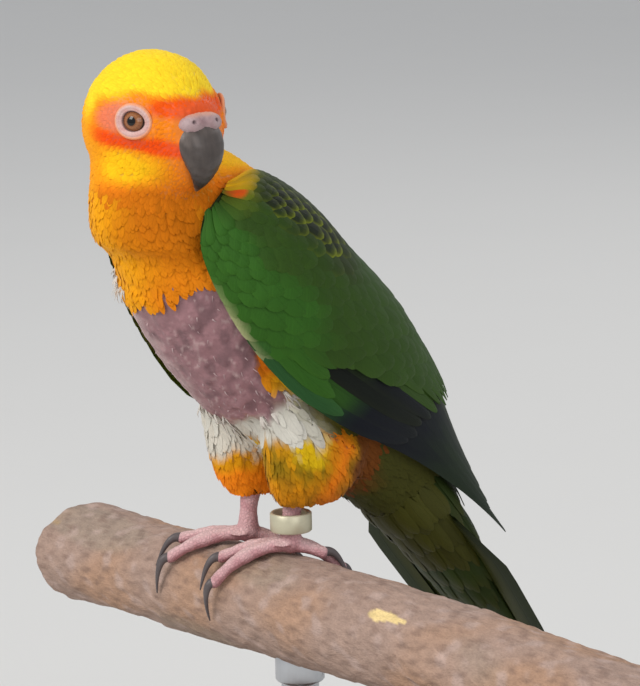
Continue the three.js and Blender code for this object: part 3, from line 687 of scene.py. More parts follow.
def thigh_markings(points):
    """White down at the top, olive-streaked gold with a round yellow spot, orange, and rust-brown behind and
    below that is partly painted shade.
    """
    side, back, up = points.T
    drift = waves(points, 8, 21)
    streak = waves(points * (1, 1, 0.2), 2.6, 22)
    outer = ramp(side, -2, 2)
    spot = 1 - ramp(np.hypot(back - THIGH_SPOT[0], up - THIGH_SPOT[1]) + 0.5 * drift, 3.6, 5.6)
    white_from = mix(21.5, 28.5, outer)
    top = ramp(up + 2 * drift + 1.5 * streak - white_from, -1.5, 2.5)
    return layered(
        THIGH_GOLD,
        (THIGH_OLIVE, outer * (0.15 + 0.65 * ramp(streak + 0.5 * drift, -0.9, 0.9))),
        (THIGH_YELLOW, spot * outer),
        (FACE_ORANGE, 0.8 * bump(back + 1.5 * drift, 9, 6) * outer),
        (FACE_ORANGE, 0.8 * ramp(-up + drift, -21, -17) * (1 - 0.7 * outer)),
        # partly painted shade: rust-brown on the back and the underside of the thigh
        (SHADED_RUST, outer * ramp(back + drift, 12, 17)),
        (SHADED_RUST, 0.5 * outer * ramp(-up + drift, -16, -11)),
        (DOWN_WHITE, 0.95 * top * (1 - ramp(back + 1.5 * drift, 2, 7))),
    )


def bare_share(points):
    """How far the breast is bare: the plucked patch from under the breast band to the belly."""
    place, from_back = trunk_place(points)
    ragged = 0.07 * waves(points, 7, 31) + 0.04 * waves(points, 3, 32)
    ends = ramp(place + ragged, 1.4, 1.54) * (1 - ramp(place + ragged, 3.15, 3.35))
    flank = 108 + 21 * bump(place, 2.9, 0.95)
    return ends * ramp(from_back + 40 * ragged, flank, flank + 6)


def head_share(points):
    """1 on the head, 0 down the neck, by the distance below the head's middle."""
    local = in_head(points)
    return ramp(local[:, 2] + 0.25 * local[:, 0], -17, -9)


def body_markings(points):
    colour = blended(trunk_markings(points), head_markings(points), head_share(points))
    nape = ramp(points[:, 1], -30, -20) * ramp(points[:, 2], 74, 84)
    return blended(colour, YELLOW, nape * (1 - head_share(points)) * 0.9)


def round_the_eyes(points, lie):
    """Turns the lie aside where it would run onto the lids."""
    for mirror in MIRRORS.values():
        away = points - eye_middle(mirror)
        distance = np.linalg.norm(away, axis=1)
        out = unit(away)
        onto = np.minimum((lie * out).sum(1), 0) * (1 - ramp(distance, 5, 9.5))
        lie = lie - onto[:, None] * out
    return lie


def lie_of(points, normals, thigh):
    """The way the coat lies at each point: back over the head, down the neck, along the trunk."""
    place, _ = trunk_place(points)
    _, along, _, _ = trunk_frame(place)
    local = in_head(points)
    face = unit(head_direction(-1, 0 * local[:, 1], -0.75 * ramp(-local[:, 2], -9, 6)))
    face = round_the_eyes(points, face)
    down = np.array((0.05, -0.12, -1.0))
    neck = unit(blended(along, down, 0.7 * ramp(points[:, 2], 66, 80)))
    lie = unit(blended(neck, face, head_share(points)))
    if thigh:
        lie = unit(np.stack([0 * place, 0.25 + 0.02 * points[:, 1], -np.ones(len(place))], -1))
    return unit(lie - (lie * normals).sum(1)[:, None] * normals)


def turned(lie, normals, degrees):
    yaw = np.radians(degrees)[:, None]
    return lie * np.cos(yaw) + np.cross(normals, lie) * np.sin(yaw)


# The skin: one surface under the whole coat

def tree_of(names):
    forms = joined([node_form(name, 0) for name in names])
    tree = BVHTree.FromBMesh(forms)
    forms.free()
    return tree


BARE_PARTS = tree_of(("bill_upper", "bill_lower", "cere", "lids_left", "lids_right"))
HEAD_REACH = 32


def bare_distance(points):
    """Millimetres from each point to the nearest lid, cere or bill, less than 0 inside one."""
    away = np.full(len(points), float(HEAD_REACH))
    close = np.where(np.linalg.norm(points - HEAD_PLACE, axis=1) < HEAD_REACH)[0]
    for index, point in zip(close.tolist(), placed(points[close]).tolist()):
        place, normal, _, distance = BARE_PARTS.find_nearest(point)
        inside = (Vector(point) - place).dot(normal) < 0
        away[index] = (-distance if inside else distance) / MM
    return away


def coat_depth(points):
    head = head_share(points)
    place, _ = trunk_place(points)
    depth = mix(1.6, 0.9, head) * (1 - 0.8 * bare_share(points))
    depth = mix(depth, 1.2, ramp(place, 5.3, 6) * (1 - head))
    return depth * mix(0.25, 1, ramp(bare_distance(points), 0.2, 3.5))


def socket_depth(points):
    """How much deeper the skin lies behind each eye, so that none shows inside the lids."""
    left, right = [np.linalg.norm(points - eye_middle(mirror), axis=1) for mirror in MIRRORS.values()]
    return 1.3 * (1 - ramp(np.minimum(left, right), 2.6, 3.6))


def head_form(grow):
    def place(u, v):
        row = between(HEAD, u * (len(HEAD) - 1))
        a = v * 2 * np.pi
        left = (row[:, 1] + grow) * np.cos(a)
        return head_point(row[:, 0], left, row[:, 3] + (row[:, 2] + grow) * np.sin(a))

    return swept_form(place, 40, 48)


SKIN_GROWN = 0.42
SKIN_VOXEL = 0.8
# Painted shade: the skin under the coat takes the coat's colours, darkened as in the shade between the
# feathers
UNDER_COAT_SHADE = 0.85


def make_skin():
    """One skin over head, neck, trunk and thighs, sunk by the coat's depth."""
    nodes = ["neck", "torso", "thigh_left", "thigh_right"]
    forms = [head_form(SKIN_GROWN)] + [node_form(name, SKIN_GROWN) for name in nodes]
    bm = fused(joined(forms), SKIN_VOXEL)
    evened(bm, 3)
    bm.normal_update()
    points = unplaced([vert.co for vert in bm.verts])
    normals = np.array([vert.normal for vert in bm.verts])
    depth = coat_depth(points) + socket_depth(points) + SKIN_GROWN
    pits = 0.14 * waves(points, 2.3, 41) - 0.35 * np.abs(waves(points * (1, 1, 0.5), 7, 44))
    sunk = points - normals * (depth - bare_share(points) * pits)[:, None]
    move_verts(bm, sunk)
    evened(bm, 2)
    skin = smooth_object("skin", bm)
    points = unplaced(vertex_points(skin))
    side, back, up = points.T
    # painted light: the bare skin is paler on the bird's right, the side that faces the light
    flesh = blended(BARE_PINK, BARE_PALE, ramp(-side + 3 * waves(points, 9, 43), -2, 12))
    creases = 1 - np.abs(waves(points * (1, 1, 0.5), 7, 44)) - 0.3 * np.abs(waves(points, 3.4, 45))
    # dark blotches, partly the skin's own mottling, partly painted shade: more of them towards the bird's
    # left, away from the light
    blotches_and_shade = waves(points * (1, 1, 0.6), 4, 46) + 0.05 * (side - 4)
    flesh = layered(
        flesh,
        (BARE_DARK, 0.7 * ramp(blotches_and_shade, 0.1, 1.3)),
        (BARE_PALE, 0.7 * ramp(creases, 0.72, 1.0)),
    )
    # painted shade: the coat's colours, darker, on the skin beneath it
    under_coat = body_markings(points) * UNDER_COAT_SHADE
    thigh = ramp(np.abs(side), 6, 9) * (1 - ramp(up, 30, 36)) * (1 - ramp(back, 20, 26))
    under_coat = blended(under_coat, thigh_markings(points) * UNDER_COAT_SHADE, thigh)
    paint(skin, blended(under_coat, flesh, bare_share(points)))
    seated(skin, "body_feathers", "head", *nodes)
    return skin


def surface_of(obj):
    mesh = obj.data
    mesh.calc_loop_triangles()
    points = unplaced(vertex_points(obj))
    corners = np.empty(len(mesh.loop_triangles) * 3, np.int32)
    mesh.loop_triangles.foreach_get("vertices", corners)
    corners = corners.reshape(-1, 3)
    triangles = points[corners]
    normals = np.cross(triangles[:, 1] - triangles[:, 0], triangles[:, 2] - triangles[:, 0])
    tree = BVHTree.FromPolygons(points.tolist(), corners.tolist())
    return {"triangles": triangles, "areas": np.linalg.norm(normals, axis=1) / 2, "tree": tree}


def nearest(tree, points):
    """The nearest places of a surface and the way out of it there."""
    found = [tree.find_nearest(point) for point in points.tolist()]
    places = np.array([hit[0] for hit in found])
    return places, np.array([hit[1] for hit in found])


SCATTER_TRIES = 8


def scattered(surface, keep, spacing, dice):
    """Points over the kept part of a surface, none nearer to another than the spacing."""
    triangles = surface["triangles"]
    share = surface["areas"] * keep(triangles.mean(1))
    count = int(SCATTER_TRIES * share.sum() / spacing**2)
    chosen = triangles[dice.choice(len(share), count, p=share / share.sum())]
    a = dice.random(count)
    b = dice.random(count)
    fold = a + b > 1
    a = np.where(fold, 1 - a, a)[:, None]
    b = np.where(fold, 1 - b, b)[:, None]
    points = chosen[:, 0] + a * (chosen[:, 1] - chosen[:, 0]) + b * (chosen[:, 2] - chosen[:, 0])
    cells = np.floor(points / spacing).astype(int).tolist()
    grid = {}
    kept = []
    around = [(i, j, k) for i in (-1, 0, 1) for j in (-1, 0, 1) for k in (-1, 0, 1)]
    closest = spacing**2
    listed = points.tolist()
    for index, (i, j, k) in enumerate(cells):
        x, y, z = listed[index]
        clear = True
        for di, dj, dk in around:
            other = grid.get((i + di, j + dj, k + dk))
            if other and (other[0] - x) ** 2 + (other[1] - y) ** 2 + (other[2] - z) ** 2 < closest:
                clear = False
                break
        if clear:
            grid[(i, j, k)] = (x, y, z)
            kept.append(index)
    return points[kept]


COAT_STEPS = vane_step(np.linspace(0, 1, COAT_ALONG + 1))
ROOT_SUNK = 0.15


def lay_coat(name, slot, surface, keep, marks, measures, seed, thigh=False, unwrap=skin_patch):
    """Small feathers over part of the skin. Measures: spacing, length, width, lift of the tip, and how
    far they stray from the lie in degrees. On the head, and near lids and bill, they are smaller."""
    spacing, length, width, lift, stray = measures
    dice = np.random.default_rng(seed)
    roots = scattered(surface, keep, spacing, dice)
    count = len(roots)
    _, normals = nearest(surface["tree"], roots)
    lie = turned(lie_of(roots, normals, thigh), normals, dice.normal(0, stray, count))
    small = mix(1, 0.66, head_share(roots)) * mix(0.5, 1, ramp(bare_distance(roots), 0.2, 5))
    small *= mix(1, 0.6, ramp(bare_share(roots), 0, 0.3))
    reach = small * length * dice.uniform(0.84, 1.14, count)
    half = small * width / 2 * dice.uniform(0.86, 1.12, count)
    straight = roots[:, None] + lie[:, None] * (reach[:, None] * COAT_STEPS)[..., None]
    base, out = nearest(surface["tree"], straight.reshape(-1, 3))
    by_step = (count, len(COAT_STEPS), 3)
    out = unit(0.5 * normals[:, None] + out.reshape(by_step))
    tip_lift = lift * small * dice.uniform(0.75, 1.1, count)
    rise = tip_lift[:, None] * (0.12 + 0.88 * COAT_STEPS) - ROOT_SUNK
    spine = base.reshape(by_step) + out * rise[..., None]
    across = unit(np.cross(out, lie[:, None]))
    form = SMALL_VANE[0]
    row = np.rint(form[:, 0] * COAT_ALONG).astype(int)
    edge = 2 * form[:, 1] - 1
    spread = half[:, None] * tuft_outline(COAT_STEPS)[row] * edge
    height = 0.04 * form[:, 2] - 0.1 * np.abs(spread * edge)
    points = spine[:, row] + across[:, row] * spread[..., None] + out[:, row] * height[..., None]
    colours = marks(spine.reshape(-1, 3)).reshape(by_step)[:, row]
    tone = dice.uniform(0.94, 1.05, count)[:, None] * (0.93 + 0.09 * form[:, 0])
    coat = feather_mesh(name, SMALL_VANE, points, colours * tone[..., None], unwrap(roots))
    seated(coat, slot)
    return coat


# The wings

def wing_row(at, mirror):
    """The wing's row at a place and its lower and upper edge; the right wing hangs a little lower."""
    row = row_where(WING, at)
    share = np.clip((at - DROOP_FROM) / (DROOP_TO - DROOP_FROM), 0, 1)
    droop = RIGHT_WING_DROOP * np.sin(np.pi * share) ** 2 if mirror < 0 else 0
    return row, row[..., 1] - droop, row[..., 2]


def flesh_lift(at, share):
    row = row_where(WING, at)
    crown = 0.8 * row[..., 3] * np.maximum(0.25, 1 - np.abs(2 * share - 1) ** 3)
    return WING_LIFT + crown


def make_wing_flesh(mirror, side):
    def place(u, v):
        around = v * 2
        share = np.where(around < 1, around, 2 - around)
        at = mix(*WING_FLESH, u)
        _, low, high = wing_row(at, mirror)
        lift = np.where(around < 1, flesh_lift(at, share), WING_LIFT)
        return over_trunk(at, mix(low, high, mix(0.02, 0.98, share)), lift, mirror)

    bm = swept_form(place, 30, 40)
    return smooth_object(f"wing_flesh_{side}", bm)


# Where the greater coverts end, by share of the wing's height
SHORT_ROW = np.array([
    (0, 3.75),
    (0.07, 3.7),
    (0.14, 3.25),
    (0.24, 3.15),
    (0.3, 3.7),
    (0.335, 4.3),
    (0.455, 5.15),
    (0.6, 5.3),
    (1, 5.1),
])
COVERTS = 0
SECONDARIES = 1
PRIMARIES = 2


def wing_markings(at, share, layer):
    """Colours of one wing by place along the trunk and share of the wing's height."""
    drift = waves(np.stack([at * 20, share * 60, 0 * at], -1), 12, 51)
    green = layered(
        LEAF_GREEN,
        (MOSS_GREEN, ramp(share + 0.05 * drift, 0.28, 0.45)),
        (DARK_OLIVE, ramp(share + 0.05 * drift, 0.52, 0.72)),
        (MOSS_GREEN, ramp(at, 2.6, 3.3) * ramp(share, 0.1, 0.3)),
        (BLUE_GREEN, 0.7 * (1 - ramp(share, 0.03, 0.1)) * ramp(at, 2.0, 2.8)),
    )
    if layer == COVERTS:
        shoulder = (1 - ramp(at + 0.08 * drift, 1.1, 1.4)) * ramp(share, 0.35, 0.75)
        green = layered(
            green,
            (YELLOW_GREEN, 0.7 * shoulder),
            (YELLOW, (1 - ramp(at + 0.08 * drift, 1.1, 1.3)) * ramp(share, 0.62, 0.8)),
        )
        spot = 1 - ramp(np.hypot((at - 1.12) / 0.05, (share - 0.64) / 0.04), 0.5, 1.2)
        return layered(
            green,
            (RED_ORANGE, 0.8 * spot),
            (CREAM, 0.85 * (1 - ramp(share, 0.03, 0.07)) * bump(at, 2.3, 0.8)),
        )
    wedge = bump(share, 0.225, 0.1) * ramp(at, 2.9, 3.2)
    blue = ramp(at + 0.1 * drift, 3.7, 4.1) * (1 - ramp(share + 0.02 * drift, 0.3, 0.36))
    if layer == SECONDARIES:
        return layered(
            green,
            (NAVY, blue),
            (BLACK_GREEN, np.clip(2 * wedge, 0, 1)),
        )
    return layered(
        NAVY,
        (SLATE_GREEN, ramp(at + 0.15 * drift, 5.2, 6.2)),
        (DARK_OLIVE * 0.8, 0.7 * ramp(share, 0.5, 0.75)),
    )


def shoulder_pattern(tips, middles):
    """Dark centres with yellow-green edges on the shoulder's upper side."""
    along = ramp(tips, 1.35, 1.6) * (1 - ramp(tips, 2.5, 2.9))
    return np.clip(1.6 * bump(middles, 0.74, 0.17), 0, 1) * along


def wing_vanes(mirror, shape, rows, slope, widen, layer, edging, dice):
    """Vanes over one wing. Each row holds a root and a tip place, the share of the wing's height of its
    middle, half its width as such a share, and its height over the trunk at the root and at the tip."""
    roots, tips, middles, halves, start, end = rows[..., None]
    t, v, face = shape[0].T
    u = vane_step(t)
    at = roots + (tips - roots) * u
    row, low, high = wing_row(at, mirror)
    grown = 1 + widen * u**2
    half = halves * grown
    across = (2 * v - 1) * half * vane_outline(u)
    share = np.clip(middles, half, 1 - half) + across
    lift = mix(start, end, np.minimum(1, 1.4 * u)) + slope / grown * (half - across)
    shaft = 0.1 * (face > 0) * bump(v, 0.5, 0.2) * (1 - u)
    arch = 0.2 * (1 - (2 * v - 1) ** 2) * np.minimum(1, 3 * u)
    lift = lift + row[..., 4] + 0.12 * face + shaft + arch
    points = over_trunk(at, low + (high - low) * share, lift, mirror)
    seen_at = mix(tips, at, 0.5 if layer == COVERTS else 0.85)
    flat = wing_markings(seen_at.ravel(), mix(middles, share, 0.35).ravel(), layer)
    colours = flat.reshape(*at.shape, 3)
    # partly the right wing's own yellow-green, partly painted light: its lower edge lies in shade and is
    # painted paler
    if mirror < 0:
        lit_low_edge = (1 - ramp(share, 0.08, 0.22)) * (1 - ramp(at, 4.2, 5))
        colours = blended(colours, YELLOW_GREEN, 0.6 * lit_low_edge)
    rim = np.maximum(ramp(np.abs(2 * v - 1), 0.45, 1), ramp(u, 0.8, 1.0))
    colours = blended(colours, colours * 1.3 + 0.06 * YELLOW_GREEN, edging * rim)
    if layer == COVERTS:
        pattern = shoulder_pattern(tips, middles)
        colours = layered(
            colours,
            (BLACK_GREEN, 0.8 * pattern * (1 - rim)),
            (YELLOW_GREEN, 0.8 * pattern * rim),
        )
    tone = dice.uniform(0.92, 1.07, len(roots))[:, None] * (0.8 + 0.2 * ramp(u, 0.1, 0.6))
    return points, colours * tone[..., None]


# Rows of long feathers: how many, their height over the trunk at the root and at the tip, and how
# far each reaches over its neighbours
PRIMARY_ROW = (9, (0.85, 0.85), 1.6)
SECONDARY_ROW = (12, (0.8, 2.6), 1.5)
GREATER_ROW = (17, (0.9, 3.0), 1.45)
PRIMARY_TIPS = (7.28, 5.8)
SECONDARY_TIPS = (4.9, 5.3)


def row_middles(row):
    count, _, overlap = row
    half = overlap / (2 * count)
    return np.linspace(half, 1 - half, count)


def long_rows(row, root, tips):
    count, lifts, overlap = row
    even = np.ones(count)
    half = overlap / (2 * count) * even
    return np.array([root * even, tips, row_middles(row), half, lifts[0] * even, lifts[1] * even])


def stray(tips, reach, dice):
    return tips + dice.uniform(-reach, reach, len(tips))


# The lesser coverts' first and last row, their distance apart in mm round the wing, and their length
# and step along the trunk, each at the front and further back
LESSER_FROM = 0.9
LESSER_TO = 4.6
WING_ROUND = 24
LESSER_WIDE = (2.4, 3.8)
LESSER_LONG = (0.34, 0.5)
LESSER_STEP = (0.09, 0.15)


def covert_rows(mirror, dice):
    """Lesser coverts: rows of small feathers, finer at the front, that stop short of the greater ones."""
    columns = []
    root = LESSER_FROM
    while root < LESSER_TO:
        size = ramp(np.array(root), LESSER_FROM, 2.3)
        _, low, high = wing_row(np.array(root + 0.2), mirror)
        count = int(np.radians(high - low) * WING_ROUND / mix(*LESSER_WIDE, size))
        half = 0.78 / count
        shares = (np.arange(count) + 0.5 * (len(columns) % 2) + 0.25) / count
        shares = np.clip(shares + dice.uniform(-0.15, 0.15, count) / count, half, 1 - half)
        starts = root + 0.03 * dice.uniform(-1, 1, count)
        tips = starts + mix(*LESSER_LONG, size) * dice.uniform(0.9, 1.1, count)
        fits = tips < np.interp(shares, SHORT_ROW[:, 0], SHORT_ROW[:, 1]) - 0.12
        fits &= (shares < 0.92) | (tips < 3.6)
        columns.append(np.stack([starts, tips, shares, half + 0 * shares])[:, fits])
        root += mix(*LESSER_STEP, size)
    starts, tips, shares, halves = np.concatenate(columns, 1)
    outer = 0.9 * ramp(tips, 2.8, 4.0)
    low_lift = flesh_lift(starts, shares) + outer - 0.1
    return np.stack([starts, tips, shares, halves, low_lift, flesh_lift(tips, shares) + outer + 0.7])


def make_wing(side, mirror):
    flesh = make_wing_flesh(mirror, side)
    base_colour = OLIVE_GOLD if mirror < 0 else DARK_OLIVE
    paint(flesh, np.broadcast_to(base_colour, (len(flesh.data.vertices), 3)))
    seated(flesh, "wing_feathers", f"wing_{side}")
    dice = np.random.default_rng(60)
    tips = stray(np.linspace(*PRIMARY_TIPS, PRIMARY_ROW[0]), 0.06, dice)
    primaries = long_rows(PRIMARY_ROW, 3.3, tips)
    tips = stray(np.linspace(*SECONDARY_TIPS, SECONDARY_ROW[0]), 0.06, dice)
    secondaries = long_rows(SECONDARY_ROW, 2.7, tips)
    ends = np.interp(row_middles(GREATER_ROW), SHORT_ROW[:, 0], SHORT_ROW[:, 1])
    tips = stray(ends, 0.05, dice)
    greater = long_rows(GREATER_ROW, np.maximum(1.95, tips - 1.8), tips)
    lesser = covert_rows(mirror, dice)
    # Name, vane, rows, slope over the neighbours, widening to the tip, layer, and how pale its edges are
    tiers = (
        ("primaries", FINE_VANE, primaries, 4.4, 1.6, PRIMARIES, 0.12),
        ("secondaries", FINE_VANE, secondaries, 5.0, 0.3, SECONDARIES, 0.2),
        ("greater_coverts", COVERT_VANE, greater, 6.0, 0.2, COVERTS, 0.25),
        ("lesser_coverts", COVERT_VANE, lesser, 2.2, 0, COVERTS, 0.15),
    )
    pieces = [flesh]
    for label, shape, rows, slope, widen, layer, edging in tiers:
        points, colours = wing_vanes(mirror, shape, rows, slope, widen, layer, edging, dice)
        patches = np.clip(np.stack([rows[1] / 9, rows[2]], -1), 0.01, 0.99)
        pieces.append(feather_mesh(f"{label}_{side}", shape, points, colours, patches))
        seated(pieces[-1], "wing_feathers")
    return pieces


# The tail

TAIL_WIDE = (12.6, 11)
TAIL_ABOVE = (9, -0.8)
TAIL_BELOW = (12.5, 3.4)


def over_tail_root(reach, degrees, lift):
    """A point over the tail's fleshy root: distance back from the rump, degrees round it, and height."""
    reach = np.asarray(reach, float)
    _, along_end, outward_end, _ = trunk_frame(np.array(TAIL_ROOT + 1.0))
    _, along, _, centre = trunk_frame(np.array(float(TAIL_ROOT)))
    u = np.clip(reach / TAIL_FLESH_LENGTH, 0, 1)
    wide = mix(TAIL_WIDE[0], TAIL_WIDE[1], u)
    above = mix(TAIL_ABOVE[0], TAIL_ABOVE[1], u**0.9)
    below = mix(TAIL_BELOW[0], TAIL_BELOW[1], u**0.8)
    a = np.radians(degrees)
    start = centre + along * 0.4
    return (
        start
        + reach[..., None] * along_end
        + ((wide + lift) * np.cos(a))[..., None] * LEFT
        + ((above - below) / 2 + ((above + below) / 2 + lift) * np.sin(a))[..., None] * outward_end
    )


# The vanes fan out from their roots to their widest, then draw together towards the tips
FAN_ROOT = 8
FAN_WIDEST = 22
FAN_DRAWN = 0.28
FAN_DRAWN_BY = 80
TAIL_HALF = (2.2, 4.3)


def tail_vanes(dice):
    """Long pairs under one another from the middle outwards, each pair shorter."""
    _, along, outward, _ = trunk_frame(np.array(TAIL_ROOT + 1.0))
    centre_root = trunk_frame(np.array(float(TAIL_ROOT)))[3]
    form = FINE_VANE[0]
    t, v, face = form.T
    u = vane_step(t)
    points = []
    colours = []
    for pair in range(TAIL_PAIRS):
        share = pair / (TAIL_PAIRS - 1)
        length = (TAIL_LENGTH - TAIL_HIDDEN) * mix(1, TAIL_SHORTEST, share**1.2)
        reach = mix(FAN_ROOT, length, u)
        fan = np.minimum(1, reach / FAN_WIDEST)
        past = np.clip((reach - FAN_WIDEST) / (FAN_DRAWN_BY - FAN_WIDEST), 0, 1)
        gather = mix(1, 0.5 if pair == 0 else 0.94, np.maximum(0, u - 0.6) / 0.4)
        middle = mix(1.6 + 1.9 * pair, 3.9 + 3.6 * pair, fan) * (1 - FAN_DRAWN * past) * gather
        half = mix(*TAIL_HALF, fan) * vane_outline(u)
        x = np.maximum(0.2 if pair else -0.5, middle + (2 * v - 1) * half)
        shaft = 0.12 * np.sign(face) * bump(v, 0.5, 0.2) * (1 - u)
        up = 2.45 - 0.014 * reach - 0.82 * pair - 0.06 * x + 0.12 * face + shaft
        for mirror in (1, -1):
            side = (mirror * x)[:, None] * LEFT
            level = up + 0.15 * mirror * (pair == 0)
            points.append(centre_root + reach[:, None] * along + side + level[:, None] * outward)
            dark = blended(DARK_OLIVE * 0.8, SLATE_GREEN, 0.6 * ramp(u, 0.5, 0.9))
            # partly the tail's own pale stripe, partly painted light: it is painted much paler to show in
            # the shade under the tail
            pale = 0.9 if pair in (1, 2) and mirror < 0 else 0.06
            inner = (1 - ramp(v, 0.15, 0.45)) * (1 - ramp(u, 0.75, 0.95))
            shade = blended(dark, LIT_TAIL_STRIPE, pale * inner)
            colours.append(shade * dice.uniform(0.85, 1.1))
    return np.array(points), np.array(colours)


def tail_coverts(dice, rows):
    """Short feathers over the tail's root; each row holds its start, length, the angles and the count."""
    form = COVERT_VANE[0]
    t, v, face = form.T
    u = vane_step(t)
    points = []
    colours = []
    for start, length, first, last, count, colour in rows:
        for i in range(count):
            middle = mix(first, last, i / (count - 1)) + dice.uniform(-3, 3)
            long = length * dice.uniform(0.85, 1.1)
            degrees = middle + 9 * (2 * v - 1) * vane_outline(u)
            reach = start + long * u
            lift = mix(-0.8, 0.9, np.minimum(1, 1.5 * u)) + 0.3 * (i % 2) + 0.13 * face
            points.append(over_tail_root(reach, degrees, lift))
            shade = blended(np.broadcast_to(colour, (len(u), 3)), OLIVE, 0.5 * ramp(u, 0.5, 1))
            colours.append(shade * dice.uniform(0.85, 1.15))
    return np.array(points), np.array(colours)


def make_tail():
    dice = np.random.default_rng(70)

    def place(u, v):
        return over_tail_root(mix(0, TAIL_FLESH_LENGTH, u), 360 * v, -0.5)

    flesh = smooth_object("tail_flesh", swept_form(place, 24, 32))
    points = unplaced(vertex_points(flesh))
    below = ramp(-(points[:, 2] + points[:, 1] * 1.2), -55, -45)
    paint(flesh, blended(np.broadcast_to(DARK_OLIVE, points.shape), OLIVE, 0.6 * below))
    points, colours = tail_vanes(dice)
    patches = np.stack([np.linspace(0.05, 0.95, len(points)), np.full(len(points), 0.5)], -1)
    quills = feather_mesh("tail_quills", FINE_VANE, points, colours, patches)
    rows = (
        (25, 15, -20, -160, 14, DARK_OLIVE),
        (17, 15, -5, -175, 16, DARK_OLIVE * 1.15),
        (10, 14, -10, -170, 17, OLIVE * 0.85),
        (3, 13, 0, -180, 18, OLIVE * 0.95),
        (-4, 12, 0, -180, 18, OLIVE * 1.1),
        (14, 20, 20, 160, 14, DARK_OLIVE),
        (5, 17, 15, 165, 15, DARK_OLIVE),
        (-4, 15, 10, 170, 15, DARK_OLIVE),
    )
    points, colours = tail_coverts(dice, rows)
    patches = np.stack([np.linspace(0.02, 0.98, len(points)), np.full(len(points), 0.3)], -1)
    coverts = feather_mesh("tail_coverts", COVERT_VANE, points, colours, patches)
    seated(flesh, "tail_feathers", "tail")
    seated(quills, "tail_feathers")
    seated(coverts, "tail_feathers")
    return [flesh, quills, coverts]


# The head's bare parts

def make_bill_upper():
    """The horn of the upper bill: a keel, growth lines and a notch in the cutting edge."""
    left = head_direction(0, 1, 0)

    def place(u, v):
        row = between(BILL_UPPER, u * (len(BILL_UPPER) - 1))
        turn = np.radians(row[:, 0])
        notch = 0.5 * (ramp(u, 0.58, 0.64) - ramp(u, 0.76, 0.92))
        inner, outer, wide = row[:, 1] + notch, row[:, 2], row[:, 3]
        a = v * 2 * np.pi
        plain = 1 - ramp(u, 0.75, 1)
        keel = 0.3 * np.exp(-((a - np.pi / 2) / 0.5) ** 2) * ramp(u, 0, 0.3) * plain
        growth = (0.05 * np.sin(u * 70 + 1.5 * np.sin(3 * a)) + 0.03 * np.sin(22 * a + 5 * u)) * plain
        reach = (inner + outer) / 2 + ((outer - inner) / 2) * np.sin(a) + keel + growth
        square = np.sign(np.cos(a)) * np.abs(np.cos(a)) ** 0.85
        ahead = BILL_PIVOT[0] + reach * np.cos(turn)
        middle = head_point(ahead, 0 * turn, BILL_PIVOT[1] + reach * np.sin(turn))
        return middle + (wide * square)[:, None] * left

    bill = smooth_object("bill_upper_horn", swept_form(place, 72, 64))
    local = in_head(unplaced(vertex_points(bill)))
    ahead = local[:, 0] - BILL_PIVOT[0]
    up = local[:, 2] - BILL_PIVOT[1]
    turn = np.degrees(np.arctan2(up, ahead))
    reach = np.hypot(ahead, up)
    streaks = waves(np.stack([turn * 0.1, local[:, 1] * 2, reach * 2], -1), 4, 84)
    colour = layered(
        BILL_GREY,
        (BILL_PALE, ramp(turn + 6 * streaks, 25, 70)),
        (BILL_TIP, ramp(-turn, 10, 45)),
    )
    inner = np.interp(turn, BILL_UPPER[::-1, 0], BILL_UPPER[::-1, 1])
    colour = blended(colour, BILL_EDGE, 0.7 * (1 - ramp(reach - inner, 0.4, 1.6)))
    paint(bill, colour * (1 + 0.12 * streaks)[:, None])
    return bill


def make_bill_lower():
    def place(u, v):
        row = between(BILL_LOWER, u * 3)
        run = between(BILL_LOWER, u * 3 + 0.05) - between(BILL_LOWER, u * 3 - 0.05)
        along = unit(head_direction(run[:, 0], 0 * u, run[:, 1]))
        left = head_direction(0, 1, 0)
        upward = np.cross(along, np.broadcast_to(left, along.shape))
        centre = head_point(row[:, 0], 0 * u, row[:, 1])
        growth = 1 + 0.02 * np.sin(u * 40)
        return ellipse_points(centre, left, -upward, row[:, 2] * growth, row[:, 3] * growth, v)

    bill = smooth_object("bill_lower_horn", swept_form(place, 26, 32))
    ahead = in_head(unplaced(vertex_points(bill)))[:, 0]
    paint(bill, blended(LOWER_BILL, LOWER_BILL_TIP, ramp(ahead, 10, 13)))
    return bill


CERE_PLACE = (15.3, 0, 1.9)
CERE_SIZE = (2.7, 6, 2.7)
NOSTRIL = (17.7, 3.2, 2.6)


def make_cere():
    """The bare swelling over the bill, with a nostril in a pit on each side."""
    bm, ball = unit_ball(96, 64)
    local = ball * CERE_SIZE
    front = ball[:, 0] > 0
    local[:, 0] += 0.4 * np.exp(-((np.abs(local[:, 1]) - 3.2) / 1.6) ** 2) * front
    local[:, 0] -= 0.3 * np.exp(-(local[:, 1] / 0.9) ** 2) * front
    local += CERE_PLACE
    away = np.linalg.norm(local * (1, 0, 1) + np.abs(local) * (0, 1, 0) - NOSTRIL, axis=1)
    pit = 1 - ramp(away, 0.15, 0.7)
    local[:, 0] -= 0.7 * pit
    points = head_point(local[:, 0], local[:, 1], local[:, 2])
    points += ball * (0.05 * waves(points, 1.2, 81) + 0.05 * waves(points, 2.4, 82))[:, None]
    move_verts(bm, points)
    cere = smooth_object("cere_skin", bm)
    rosy = 0.35 + 0.3 * waves(points, 3, 83)
    colour = layered(
        CERE_GREY,
        (CERE_ROSE, np.clip(rosy, 0, 1)),
        (CERE_EDGE, 0.5 * ramp(local[:, 2], 3.2, 4.6)),
    )
    # painted shade: the nostril pits are painted darker
    paint(cere, blended(colour, NOSTRIL_SHADE, pit))
    return cere


